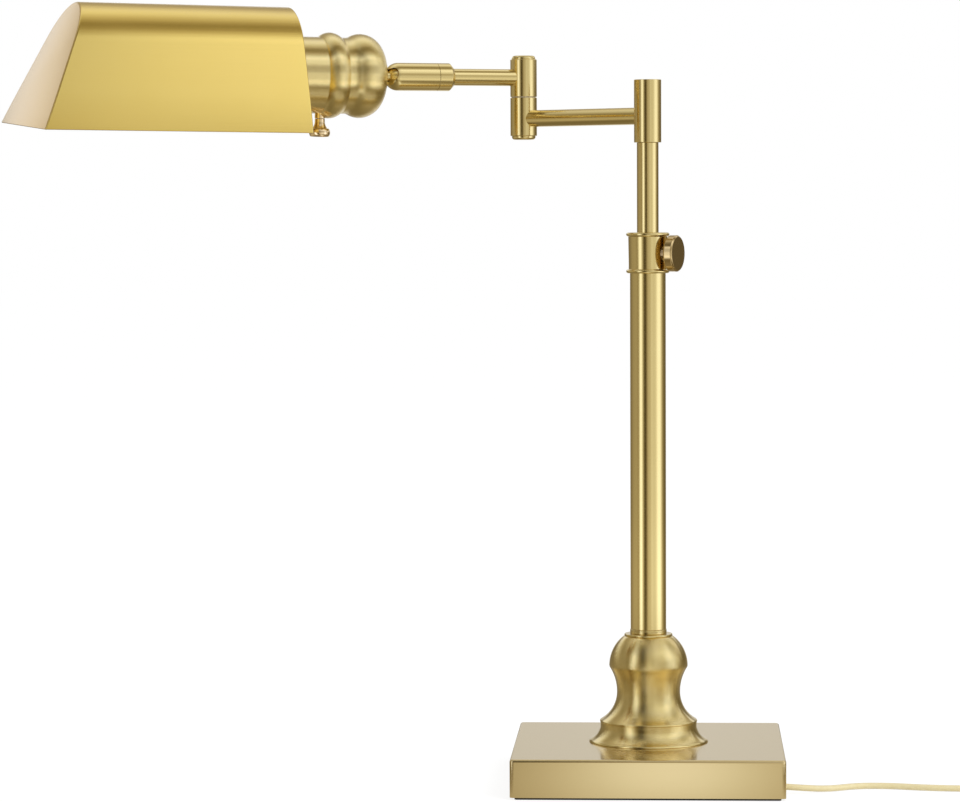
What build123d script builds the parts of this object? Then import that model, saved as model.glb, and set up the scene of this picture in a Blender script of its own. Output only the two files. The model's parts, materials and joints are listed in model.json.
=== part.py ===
from build123d import *
from math import cos, pi, radians, sin, sqrt, tan
import os

os.makedirs("parts", exist_ok=True)

# Swing arm desk lamp, in millimetres. The origin is on the desk, under the post's axis.
# +X is to the right of the square base, +Z is up, and the arms reach out to -X.

# Base: a pressed cover over an iron weight, on a thin pad
base_side = 160.0
base_top = 23.7
cover_wall = 1.2
cover_corner = 2.0
cover_edge = 1.3
pad_side = 154.6
pad_height = 1.4
weight_side = 156.8
weight_pocket = 56.0
weight_pocket_corner = 6.0
weight_pocket_depth = 9.0
weight_pocket_pitch = 74.0
nut_recess_radius = 17.0
nut_recess_depth = 10.0
cord_way_width = 8.0
cord_way_depth = 6.0
cord_way_in = 20.0
cord_way_across = 30.0
cord_way_middle = 14.0

# Threaded pipe through the middle of base and pedestal
pipe_radius = 5.0
pipe_bore = 3.4
pipe_hole = 5.1
pipe_foot = 4.0
pipe_head = 106.0
nut_flats = 17.0
nut_height = 5.0
washer_radius = 14.0
washer_height = 2.0

# Pedestal: flared foot, waisted vase, thin ring on top
foot_lip_radius = 35.6
foot_lip = 1.2
foot_lip_bevel = 0.5
foot_flare_start = (0.25, -1)
foot_step_radius = 28.8
foot_step_low = 32.3
foot_top = 35.5
foot_wall = 1.8
vase_foot_radius = 29.1
vase_foot_edge = 0.9
vase_foot_bevel = 0.4
vase_flare_radius = 28.6
waist_radius = 18.85
waist_height = 53.5
crease_radius = 22.6
crease_height = 67.4
bulb_radius = 23.45
bulb_height = 69.4
bulb_lip = 0.2
bulb_lip_drop = 0.9
vase_top_radius = 14.6
vase_top = 87.0
vase_bore = 14.0
vase_web = 4.0
ring_radius = 14.4
ring_top = 88.4
ring_edge = 0.6
fine_edge = 0.3

# Post: fixed tube, clamp collar, and a thinner tube that slides in them
tube_radius = 10.65
tube_bore = 9.35
tube_foot = 91.0
tube_head = 309.0
ferrule_radius = 10.95
insert_foot = 93.0
insert_head = 105.0
seat_gap = 0.02
collar_foot = 303.7
collar_head = 327.8
collar_radius = 11.4
collar_bead_radius = 12.9
collar_bead = 2.2
collar_mouth_gap = 0.5
bush_foot = 285.0
bush_head = 325.6
running_gap = 0.05
shaft_radius = 6.45
shaft_bore = 5.0
shaft_foot = 168.0
shaft_head = 381.2
glide_foot = 160.0
glide_head = 180.0
glide_gap = 0.08
glide_edge = 0.8

# Thumb screw in the collar's side
thumb_height = 315.4
thumb_turn = -22.4
thumb_knob_radius = 10.85
thumb_knob_inner = 13.9
thumb_knob_outer = 19.6
thumb_neck_radius = 3.9
thumb_boss_radius = 5.2
thumb_boss_face = 12.6
thumb_boss_foot = 9.95
thumb_screw_radius = 2.9
thumb_tip = 6.75
thumb_hole_gap = 0.3
thumb_knob_edge = 0.5
thumb_seat = 3.9
thumb_seat_room = 0.1

# Arms: level tubes between turned barrels
lower_arm_turn = 180.0 - 39.7
upper_arm_turn = 180.0 + 23.5
lower_arm_length = 99.0
lower_arm_height = 397.0
upper_arm_height = 422.0
arm_radius = 5.1
arm_bore = 3.6
wire_hole = 3.2
sleeve_radius = 8.1
sleeve_head = 418.5
sleeve_foot_edge = 0.4
spigot_head = 412.0
spigot_bore = 3.5
spigot_grip = 14.0
sleeve_cap_height = 3.0
sleeve_cap_radius = 7.0
knuckle_radius = 8.1
knuckle_edge = 0.35
knuckle_foot = 386.5
knuckle_seam = 409.9
washer_gap = 0.4
washer_inset = 0.7
knuckle_head = 433.1
knuckle_cap_radius = 6.65
knuckle_cap = 2.2
knuckle_cap_spigot = 3.0
knuckle_cap_edge = 0.8
knuckle_hollow = 6.3
pivot_radius = 4.0
pivot_bore = 2.6
pivot_flange_foot = 399.0
pivot_flange_head = 401.5
pivot_flange_gap = 0.2
pivot_head = 424.0
pivot_nut_foot = 417.4
pivot_nut_head = 420.9
pivot_nut_gap = 0.6
upper_shoulder = 417.3

# Swivel on the upper arm's end, measured from the knuckle's axis
ring_inner = 46.6
ring_outer = 56.8
ring_chamfer = 2.2
arm_end = 50.0
barrel_inner = 57.0
barrel_radius = 8.4
barrel_bore = 7.2
spigot_end = 66.0
ball_distance = 81.5
ball_radius = 6.9
pad_inner = 67.0
pad_outer = 76.0
pad_seat_gap = 0.1
slot_width = 7.6
slot_reach = 50.0
slot_lift = 14.5

# Head: ball stem, turned cup, lamp holder and shade, measured from the ball's centre
head_pitch = 0.6
head_roll = 3.3
stem_radius = 3.5
stem_bore = 1.8
stem_end = 20.0
stem_nut_flats = 12.0
stem_nut_height = 4.0
cup_end = 11.2
cup_end_radius = 12.8
cup_wall = 1.3
cup_crest = 24.7
cup_crest_radius = 25.2
cove_start = 30.8
cove_start_radius = 23.6
cove_middle = 34.2
cove_radius = 22.75
bead_start = 37.4
bead_start_radius = 23.0
bead_middle = 44.0
bead_radius = 25.7
bead_end = 50.2
cup_radius = 22.9
cup_bore = 21.7
holder_radius = 19.5
holder_foot = 26.0
holder_taper = 4.0
holder_flange_radius = 21.6
holder_flange_foot = 60.0
holder_mouth = 78.0
holder_bore = 13.3
holder_floor = 46.0
shade_back = 69.8
sheet = 0.9
shade_nut_radius = 24.0
shade_nut_length = 6.0
shade_nut_edge = 0.8
shade_hole_gap = 0.3
lamp_base_radius = 13.0
lamp_base_foot = 50.0
lamp_base_head = 78.6
lamp_base_taper = 3.0
lamp_neck = 6.0
lamp_neck_flare = 2.5
lamp_radius = 24.0
lamp_middle = 112.5
glass_wall = 0.9

# Shade: arched sheet trough, straight sides, slanted free end
shade_rise = 40.1
shade_arch_radius = 36.0
shade_flare = 23.4
shade_height = 72.7
shade_ridge_length = 130.1
shade_slant = 23.1

# Rotary switch under the cup
switch_distance = 48.8
switch_bush_radius = 3.1
switch_bush_top = 20.9
switch_bush_end = 25.75
switch_bush_edge = 0.3
spindle_radius = 1.5
spindle_top = 15.0
spindle_room = 0.5
knob_top = 25.9
knob_neck_radius = 3.0
knob_neck = 1.2
knob_flare = 1.6
knob_shoulder = 31.7
knob_disc_radius = 6.35
knob_round = 0.9
knob_end = 36.7
knob_end_wall = 1.0

# Supply cord: out of the base's right side, along the desk, into a tied coil with its plug beside it
cord_radius = 1.85
desk_gap = 0.1
exit_y = -52.0
exit_z = 4.3
grommet_radius = 3.0
grommet_inner = 77.6
grommet_outer = 80.8
grommet_edge = 0.4
coil_x = 223.0
coil_y = -16.7
coil_lift = 1.0
coil_pitch = 4.2
coil_outer_radius = 27.3
coil_steps = 6
coil_half_turns = 24
coil_layers = 4
tie_width = 6.0
tie_wall = 0.6
tie_gap = 0.25
tie_inner_gap = 1.25
tie_corner = 0.6
plug_x = coil_x + 36.5
plug_z = 7.0
boot_start = -8.0
boot_length = 20.0
boot_tip_radius = 2.6
boot_radius = 4.6
plug_width = 23.0
plug_thick = 13.0
plug_length = 24.0
plug_taper = 10.8
plug_neck_width = 17.0
plug_neck_thick = 10.0
plug_corner = 4.0
plug_edge = 1.0
blade_pitch = 12.7
blade_width = 6.35
blade_wall = 1.5
blade_length = 16.5
blade_edge = 0.5
blade_hole = 3.2
blade_hole_from_tip = 4.6

up = Vector(0, 0, 1)


def level_line(start, turn):
    """A plane whose x runs level at that turn, and whose y points up."""
    run = Vector(cos(radians(turn)), sin(radians(turn)), 0)
    return Plane(origin=start, x_dir=run, z_dir=run.cross(up))


def square_to(line, distance):
    """A plane square to a line's x, with its own x to the front and its y up."""
    return Plane(
        origin=line.from_local_coords((distance, 0, 0)), x_dir=line.z_dir * -1, z_dir=line.x_dir
    )


def line_axis(line):
    return Axis(line.origin, line.x_dir)


lower_line = level_line((0, 0, lower_arm_height), lower_arm_turn)
knuckle = lower_line.from_local_coords((lower_arm_length, 0, 0))
upper_line = level_line((knuckle.X, knuckle.Y, upper_arm_height), upper_arm_turn)
ball = upper_line.from_local_coords((ball_distance, 0, 0))

# The swivel's slot opens to the front and a little up; bending happens in its plane
slot_side = upper_line.z_dir.rotate(line_axis(upper_line), 180 + slot_lift)
slot_plane = Plane(origin=ball, x_dir=upper_line.x_dir, z_dir=upper_line.x_dir.cross(slot_side))

# The head's line runs on from the ball, with a slight pitch and roll
head_run = upper_line.x_dir.rotate(Axis(ball, upper_line.z_dir), head_pitch)
head_side = upper_line.z_dir.rotate(Axis(ball, head_run), -head_roll)
head_line = Plane(origin=ball, x_dir=head_run, z_dir=head_side)
head_axis = line_axis(head_line)
switch_line = Plane(
    origin=head_line.from_local_coords((switch_distance, 0, 0)),
    x_dir=head_line.y_dir * -1,
    z_dir=head_line.z_dir,
)

# Base
with BuildPart() as base_pad:
    with BuildSketch():
        RectangleRounded(pad_side, pad_side, cover_corner)
    extrude(amount=pad_height)
base_pad.part.label = "base_pad"
export_step(base_pad.part, "parts/base_pad.step")

with BuildPart() as base_weight:
    with BuildSketch(Plane.XY.offset(pad_height)):
        RectangleRounded(weight_side, weight_side, cover_corner)
    extrude(amount=base_top - cover_wall - pad_height)
    with BuildSketch(Plane.XY.offset(pad_height)):
        with GridLocations(weight_pocket_pitch, weight_pocket_pitch, 2, 2):
            RectangleRounded(weight_pocket, weight_pocket, weight_pocket_corner)
    extrude(amount=weight_pocket_depth, mode=Mode.SUBTRACT)
    with BuildSketch(Plane.XY.offset(pad_height)):
        Circle(nut_recess_radius)
    extrude(amount=nut_recess_depth, mode=Mode.SUBTRACT)
    # Ways for the cord: in from the right side, then from the pocket to the pipe
    with BuildSketch(Plane.XY.offset(pad_height)):
        with Locations((weight_side / 2 - cord_way_in / 4, exit_y)):
            Rectangle(cord_way_in, cord_way_width)
        with Locations(Location((cord_way_middle, -cord_way_middle), -45)):
            Rectangle(cord_way_across, cord_way_width)
    extrude(amount=cord_way_depth, mode=Mode.SUBTRACT)
    Hole(pipe_hole)
base_weight.part.label = "base_weight"
export_step(base_weight.part, "parts/base_weight.step")

with BuildPart() as base_cover:
    with BuildSketch(Plane.XY.offset(pad_height)):
        RectangleRounded(base_side, base_side, cover_corner)
    extrude(amount=base_top - pad_height)
    fillet(base_cover.faces().sort_by(Axis.Z)[-1].edges(), cover_edge)
    with BuildSketch(Plane.XY.offset(pad_height)):
        RectangleRounded(base_side - 2 * cover_wall, base_side - 2 * cover_wall, cover_corner - cover_wall)
    extrude(amount=base_top - cover_wall - pad_height, mode=Mode.SUBTRACT)
    with BuildSketch(Plane.XY.offset(base_top)):
        Circle(pipe_hole)
    extrude(amount=-2 * cover_wall, mode=Mode.SUBTRACT)
    # Notch for the cord's grommet, open at the cover's lower rim
    with BuildSketch(Plane.YZ.offset(base_side / 2 - 2 * cover_wall)):
        with Locations((exit_y, exit_z)):
            Circle(grommet_radius)
        with Locations((exit_y, exit_z / 2)):
            Rectangle(2 * grommet_radius, exit_z)
    extrude(amount=4 * cover_wall, mode=Mode.SUBTRACT)
base_cover.part.label = "base_cover"
export_step(base_cover.part, "parts/base_cover.step")

with BuildPart() as cord_grommet:
    with BuildSketch(Plane.YZ.offset(grommet_inner)):
        with Locations((exit_y, exit_z)):
            Circle(grommet_radius - seat_gap)
            Circle(cord_radius + seat_gap, mode=Mode.SUBTRACT)
    extrude(amount=grommet_outer - grommet_inner)
    chamfer(cord_grommet.faces().sort_by(Axis.X)[-1].outer_wire().edges(), grommet_edge)
cord_grommet.part.label = "cord_grommet"
export_step(cord_grommet.part, "parts/cord_grommet.step")

recess_ceiling = pad_height + nut_recess_depth

with BuildPart() as pipe_washer:
    with BuildSketch(Plane.XY.offset(recess_ceiling)):
        Circle(washer_radius)
        Circle(pipe_hole, mode=Mode.SUBTRACT)
    extrude(amount=-washer_height)
pipe_washer.part.label = "pipe_washer"
export_step(pipe_washer.part, "parts/pipe_washer.step")

with BuildPart() as pipe_nut:
    with BuildSketch(Plane.XY.offset(recess_ceiling - washer_height)):
        RegularPolygon(nut_flats / 2, 6, major_radius=False)
        Circle(pipe_radius + seat_gap, mode=Mode.SUBTRACT)
    extrude(amount=-nut_height)
pipe_nut.part.label = "pipe_nut"
export_step(pipe_nut.part, "parts/pipe_nut.step")

with BuildPart() as stud_pipe:
    with BuildSketch(Plane.XY.offset(pipe_foot)):
        Circle(pipe_radius)
        Circle(pipe_bore, mode=Mode.SUBTRACT)
    extrude(amount=pipe_head - pipe_foot)
stud_pipe.part.label = "stud_pipe"
export_step(stud_pipe.part, "parts/stud_pipe.step")

# Pedestal
with BuildPart() as pedestal_foot:
    with BuildSketch(Plane.XZ):
        with BuildLine():
            lip_top = (foot_lip_radius - foot_lip_bevel, base_top + foot_lip)
            Polyline((pipe_hole, foot_top), (foot_step_radius, foot_top), (foot_step_radius, foot_step_low))
            TangentArc((foot_step_radius, foot_step_low), lip_top, tangent=foot_flare_start)
            Polyline(
                lip_top,
                (foot_lip_radius, base_top + foot_lip / 2),
                (foot_lip_radius, base_top),
                (foot_lip_radius - 2 * foot_wall, base_top),
                (foot_step_radius - foot_wall, foot_step_low - foot_wall),
                (pipe_hole, foot_step_low - foot_wall),
                (pipe_hole, foot_top),
            )
        make_face()
    revolve(axis=Axis.Z)
pedestal_foot.part.label = "pedestal_foot"
export_step(pedestal_foot.part, "parts/pedestal_foot.step")

with BuildPart() as pedestal_body:
    with BuildSketch(Plane.XZ):
        with BuildLine():
            flare = (vase_flare_radius, foot_top + vase_foot_edge + vase_foot_bevel)
            waist = (waist_radius, waist_height)
            crease = (crease_radius, crease_height)
            Polyline(
                (vase_bore, foot_top),
                (vase_foot_radius, foot_top),
                (vase_foot_radius, foot_top + vase_foot_edge),
                flare,
            )
            TangentArc(waist, flare, tangent=(0, -1))
            TangentArc(waist, crease, tangent=(0, 1))
            bulb_shoulder = (bulb_radius - bulb_lip, bulb_height - bulb_lip_drop)
            Polyline(crease, bulb_shoulder, (bulb_radius, bulb_height))
            TangentArc((bulb_radius, bulb_height), (vase_top_radius, vase_top), tangent=(0, 1))
            Polyline(
                (vase_top_radius, vase_top),
                (pipe_hole, vase_top),
                (pipe_hole, vase_top - vase_web),
                (vase_bore, vase_top - 2 * vase_web),
                (vase_bore, foot_top),
            )
        make_face()
    revolve(axis=Axis.Z)
pedestal_body.part.label = "pedestal_body"
export_step(pedestal_body.part, "parts/pedestal_body.step")

with BuildPart() as pedestal_top_ring:
    with BuildSketch(Plane.XY.offset(vase_top)):
        Circle(ring_radius)
        Circle(pipe_hole, mode=Mode.SUBTRACT)
    extrude(amount=ring_top - vase_top)
    fillet(pedestal_top_ring.faces().sort_by(Axis.Z)[-1].outer_wire().edges(), ring_edge)
pedestal_top_ring.part.label = "pedestal_top_ring"
export_step(pedestal_top_ring.part, "parts/pedestal_top_ring.step")

# Post
with BuildPart() as post_ferrule:
    with BuildSketch(Plane.XY.offset(ring_top)):
        Circle(ferrule_radius)
        Circle(pipe_hole, mode=Mode.SUBTRACT)
    extrude(amount=tube_foot - ring_top)
    chamfer(post_ferrule.faces().sort_by(Axis.Z)[-1].outer_wire().edges(), fine_edge)
post_ferrule.part.label = "post_ferrule"
export_step(post_ferrule.part, "parts/post_ferrule.step")

with BuildPart() as post_tube:
    with BuildSketch(Plane.XY.offset(tube_foot)):
        Circle(tube_radius)
        Circle(tube_bore, mode=Mode.SUBTRACT)
    extrude(amount=tube_head - tube_foot)
post_tube.part.label = "post_tube"
export_step(post_tube.part, "parts/post_tube.step")

with BuildPart() as tube_insert:
    with BuildSketch(Plane.XY.offset(insert_foot)):
        Circle(tube_bore - seat_gap)
        Circle(pipe_radius + seat_gap, mode=Mode.SUBTRACT)
    extrude(amount=insert_head - insert_foot)
tube_insert.part.label = "tube_insert"
export_step(tube_insert.part, "parts/tube_insert.step")

thumb_line = level_line((0, 0, thumb_height), thumb_turn)

with BuildPart() as clamp_collar:
    with BuildSketch(Plane.XZ):
        with BuildLine():
            low_top = collar_foot + collar_bead
            high_foot = collar_head - collar_bead
            Line((tube_radius + seat_gap, collar_foot), (collar_radius, collar_foot))
            ThreePointArc(
                (collar_radius, collar_foot),
                (collar_bead_radius, collar_foot + collar_bead / 2),
                (collar_radius, low_top),
            )
            Line((collar_radius, low_top), (collar_radius, high_foot))
            ThreePointArc(
                (collar_radius, high_foot),
                (collar_bead_radius, high_foot + collar_bead / 2),
                (collar_radius, collar_head),
            )
            Polyline(
                (collar_radius, collar_head),
                (shaft_radius + collar_mouth_gap, collar_head),
                (shaft_radius + collar_mouth_gap, bush_head),
                (tube_bore, bush_head),
                (tube_bore, tube_head),
                (tube_radius + seat_gap, tube_head),
                (tube_radius + seat_gap, collar_foot),
            )
        make_face()
    revolve(axis=Axis.Z)
    # Flat boss round the thumb screw, and its hole
    with BuildSketch(square_to(thumb_line, thumb_boss_foot)):
        Circle(thumb_boss_radius)
    extrude(amount=thumb_boss_face - thumb_boss_foot)
    with BuildSketch(square_to(thumb_line, 0)):
        Circle(thumb_screw_radius + running_gap)
    extrude(amount=2 * collar_radius, mode=Mode.SUBTRACT)
clamp_collar.part.label = "clamp_collar"
export_step(clamp_collar.part, "parts/clamp_collar.step")

with BuildPart() as guide_bush:
    with BuildSketch(Plane.XY.offset(bush_foot)):
        Circle(tube_bore - seat_gap)
        Circle(shaft_radius + running_gap, mode=Mode.SUBTRACT)
    extrude(amount=bush_head - bush_foot)
    with BuildSketch(square_to(thumb_line, 0)):
        Circle(thumb_screw_radius + thumb_hole_gap)
    extrude(amount=2 * collar_radius, mode=Mode.SUBTRACT)
guide_bush.part.label = "guide_bush"
export_step(guide_bush.part, "parts/guide_bush.step")

with BuildPart() as thumb_knob:
    with BuildSketch(square_to(thumb_line, thumb_knob_inner)):
        Circle(thumb_knob_radius)
    extrude(amount=thumb_knob_outer - thumb_knob_inner)
    chamfer(thumb_knob.edges().filter_by(GeomType.CIRCLE), thumb_knob_edge)
    with BuildSketch(square_to(thumb_line, thumb_knob_inner)):
        Circle(thumb_screw_radius + seat_gap)
    extrude(amount=thumb_seat + thumb_seat_room, mode=Mode.SUBTRACT)
thumb_knob.part.label = "thumb_knob"
export_step(thumb_knob.part, "parts/thumb_knob.step")

with BuildPart() as thumb_stem:
    with BuildSketch(square_to(thumb_line, thumb_tip)):
        Circle(thumb_screw_radius)
    extrude(amount=thumb_knob_inner + thumb_seat - thumb_tip)
    with BuildSketch(square_to(thumb_line, thumb_boss_face + thumb_seat_room)):
        Circle(thumb_neck_radius)
    extrude(amount=thumb_knob_inner - thumb_boss_face - thumb_seat_room)
thumb_stem.part.label = "thumb_stem"
export_step(thumb_stem.part, "parts/thumb_stem.step")

with BuildPart() as shaft_tube:
    with BuildSketch(Plane.XY.offset(shaft_foot)):
        Circle(shaft_radius)
        Circle(shaft_bore, mode=Mode.SUBTRACT)
    extrude(amount=shaft_head - shaft_foot)
shaft_tube.part.label = "shaft_tube"
export_step(shaft_tube.part, "parts/shaft_tube.step")

with BuildPart() as glide_plug:
    with BuildSketch(Plane.XY.offset(glide_foot)):
        Circle(tube_bore - glide_gap)
        Circle(shaft_bore, mode=Mode.SUBTRACT)
    extrude(amount=glide_head - glide_foot)
    with BuildSketch(Plane.XY.offset(shaft_foot)):
        Circle(shaft_radius + seat_gap)
    extrude(amount=glide_head - shaft_foot, mode=Mode.SUBTRACT)
    chamfer(glide_plug.faces().sort_by(Axis.Z)[0].outer_wire().edges(), glide_edge)
glide_plug.part.label = "glide_plug"
export_step(glide_plug.part, "parts/glide_plug.step")

with BuildPart() as sleeve_spigot:
    with BuildSketch(Plane.XY.offset(shaft_head - spigot_grip)):
        Circle(shaft_bore - seat_gap)
        Circle(spigot_bore, mode=Mode.SUBTRACT)
    extrude(amount=spigot_head - shaft_head + spigot_grip)
sleeve_spigot.part.label = "sleeve_spigot"
export_step(sleeve_spigot.part, "parts/sleeve_spigot.step")

# Lower arm
with BuildPart() as post_sleeve:
    with BuildSketch(Plane.XY.offset(shaft_head + running_gap)):
        Circle(sleeve_radius)
        Circle(shaft_bore + running_gap, mode=Mode.SUBTRACT)
    extrude(amount=sleeve_head - shaft_head - running_gap)
    with BuildSketch(Plane.XY.offset(sleeve_head)):
        Circle(sleeve_cap_radius + seat_gap)
    extrude(amount=-sleeve_cap_height, mode=Mode.SUBTRACT)
    chamfer(post_sleeve.faces().sort_by(Axis.Z)[-1].outer_wire().edges(), fine_edge)
    chamfer(post_sleeve.faces().sort_by(Axis.Z)[0].outer_wire().edges(), sleeve_foot_edge)
    with BuildSketch(square_to(lower_line, 0)):
        Circle(wire_hole)
    extrude(amount=2 * sleeve_radius, mode=Mode.SUBTRACT)
post_sleeve.part.label = "post_sleeve"
export_step(post_sleeve.part, "parts/post_sleeve.step")

with BuildPart() as sleeve_cap:
    with BuildSketch(Plane.XY.offset(sleeve_head)):
        Circle(sleeve_cap_radius)
    extrude(amount=-sleeve_cap_height)
sleeve_cap.part.label = "sleeve_cap"
export_step(sleeve_cap.part, "parts/sleeve_cap.step")

with BuildPart() as lower_arm_tube:
    with BuildSketch(square_to(lower_line, 0)):
        Circle(arm_radius)
        Circle(arm_bore, mode=Mode.SUBTRACT)
    extrude(amount=lower_arm_length)
    # Both ends are scooped to the barrels that they are brazed to
    with BuildSketch(Plane.XY.offset(lower_arm_height - 2 * arm_radius)):
        Circle(sleeve_radius)
        with Locations((knuckle.X, knuckle.Y)):
            Circle(knuckle_radius)
    extrude(amount=4 * arm_radius, mode=Mode.SUBTRACT)
lower_arm_tube.part.label = "lower_arm_tube"
export_step(lower_arm_tube.part, "parts/lower_arm_tube.step")


def at_knuckle(height):
    return Plane(origin=(knuckle.X, knuckle.Y, height))


with BuildPart() as lower_knuckle:
    with BuildSketch(at_knuckle(knuckle_foot)):
        Circle(knuckle_radius)
    extrude(amount=knuckle_seam - knuckle_foot)
    chamfer(lower_knuckle.edges().filter_by(GeomType.CIRCLE), knuckle_edge)
    with BuildSketch(at_knuckle(knuckle_foot)):
        Circle(knuckle_hollow)
    extrude(amount=pivot_flange_head - knuckle_foot, mode=Mode.SUBTRACT)
    with BuildSketch(at_knuckle(knuckle_foot)):
        Circle(pivot_radius + seat_gap)
    extrude(amount=knuckle_seam - knuckle_foot, mode=Mode.SUBTRACT)
    with BuildSketch(square_to(lower_line, lower_arm_length)):
        Circle(wire_hole)
    extrude(amount=-2 * knuckle_radius, mode=Mode.SUBTRACT)
lower_knuckle.part.label = "lower_knuckle"
export_step(lower_knuckle.part, "parts/lower_knuckle.step")

with BuildPart() as lower_knuckle_cap:
    with BuildSketch(at_knuckle(knuckle_foot)):
        Circle(knuckle_cap_radius)
    extrude(amount=-knuckle_cap)
    fillet(lower_knuckle_cap.faces().sort_by(Axis.Z)[0].edges(), knuckle_cap_edge)
    with BuildSketch(at_knuckle(knuckle_foot)):
        Circle(knuckle_hollow - seat_gap)
    extrude(amount=knuckle_cap_spigot)
lower_knuckle_cap.part.label = "lower_knuckle_cap"
export_step(lower_knuckle_cap.part, "parts/lower_knuckle_cap.step")

with BuildPart() as knuckle_pivot:
    with BuildSketch(at_knuckle(pivot_flange_foot)):
        Circle(knuckle_hollow - pivot_flange_gap)
    extrude(amount=pivot_flange_head - pivot_flange_foot)
    with BuildSketch(at_knuckle(pivot_flange_head)):
        Circle(pivot_radius)
    extrude(amount=pivot_head - pivot_flange_head)
    with BuildSketch(at_knuckle(pivot_flange_foot)):
        Circle(pivot_bore)
    extrude(amount=pivot_head - pivot_flange_foot, mode=Mode.SUBTRACT)
knuckle_pivot.part.label = "knuckle_pivot"
export_step(knuckle_pivot.part, "parts/knuckle_pivot.step")

with BuildPart() as pivot_nut:
    with BuildSketch(at_knuckle(pivot_nut_foot)):
        RegularPolygon(knuckle_hollow - pivot_nut_gap, 6)
        Circle(pivot_radius + seat_gap, mode=Mode.SUBTRACT)
    extrude(amount=pivot_nut_head - pivot_nut_foot)
pivot_nut.part.label = "pivot_nut"
export_step(pivot_nut.part, "parts/pivot_nut.step")

# Upper arm
upper_foot = knuckle_seam + washer_gap

with BuildPart() as knuckle_washer:
    with BuildSketch(at_knuckle(knuckle_seam + running_gap)):
        Circle(knuckle_radius - washer_inset)
        Circle(pivot_radius + running_gap, mode=Mode.SUBTRACT)
    extrude(amount=washer_gap - running_gap)
knuckle_washer.part.label = "knuckle_washer"
export_step(knuckle_washer.part, "parts/knuckle_washer.step")

with BuildPart() as upper_knuckle:
    with BuildSketch(at_knuckle(upper_foot)):
        Circle(knuckle_radius)
    extrude(amount=knuckle_head - upper_foot)
    chamfer(upper_knuckle.edges().filter_by(GeomType.CIRCLE), knuckle_edge)
    with BuildSketch(at_knuckle(upper_shoulder)):
        Circle(knuckle_hollow)
    extrude(amount=knuckle_head - upper_shoulder, mode=Mode.SUBTRACT)
    with BuildSketch(at_knuckle(upper_foot)):
        Circle(pivot_radius + running_gap)
    extrude(amount=upper_shoulder - upper_foot, mode=Mode.SUBTRACT)
    with BuildSketch(square_to(upper_line, 0)):
        Circle(wire_hole)
    extrude(amount=2 * knuckle_radius, mode=Mode.SUBTRACT)
upper_knuckle.part.label = "upper_knuckle"
export_step(upper_knuckle.part, "parts/upper_knuckle.step")

with BuildPart() as upper_knuckle_cap:
    with BuildSketch(at_knuckle(knuckle_head)):
        Circle(knuckle_cap_radius)
    extrude(amount=knuckle_cap)
    fillet(upper_knuckle_cap.faces().sort_by(Axis.Z)[-1].edges(), knuckle_cap_edge)
    with BuildSketch(at_knuckle(knuckle_head)):
        Circle(knuckle_hollow - seat_gap)
    extrude(amount=-knuckle_cap_spigot)
upper_knuckle_cap.part.label = "upper_knuckle_cap"
export_step(upper_knuckle_cap.part, "parts/upper_knuckle_cap.step")

with BuildPart() as upper_arm_tube:
    with BuildSketch(square_to(upper_line, 0)):
        Circle(arm_radius)
        Circle(arm_bore, mode=Mode.SUBTRACT)
    extrude(amount=arm_end)
    with BuildSketch(at_knuckle(upper_arm_height - 2 * arm_radius)):
        Circle(knuckle_radius)
    extrude(amount=4 * arm_radius, mode=Mode.SUBTRACT)
upper_arm_tube.part.label = "upper_arm_tube"
export_step(upper_arm_tube.part, "parts/upper_arm_tube.step")

with BuildPart() as swivel_ring:
    with BuildSketch(upper_line):
        with BuildLine():
            Polyline(
                (ring_inner, arm_radius + seat_gap),
                (ring_inner, barrel_radius - ring_chamfer),
                (ring_inner + ring_chamfer, barrel_radius),
                (ring_outer - fine_edge, barrel_radius),
                (ring_outer, barrel_radius - fine_edge),
                (ring_outer, arm_radius + seat_gap),
                (ring_inner, arm_radius + seat_gap),
            )
        make_face()
    revolve(axis=line_axis(upper_line))
swivel_ring.part.label = "swivel_ring"
export_step(swivel_ring.part, "parts/swivel_ring.step")

with BuildPart() as swivel_spigot:
    with BuildSketch(upper_line):
        with BuildLine():
            Polyline(
                (arm_end, spigot_bore),
                (arm_end, arm_radius),
                (ring_outer, arm_radius),
                (ring_outer, barrel_bore - running_gap),
                (spigot_end, barrel_bore - running_gap),
                (spigot_end, spigot_bore),
                (arm_end, spigot_bore),
            )
        make_face()
    revolve(axis=line_axis(upper_line))
swivel_spigot.part.label = "swivel_spigot"
export_step(swivel_spigot.part, "parts/swivel_spigot.step")

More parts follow.
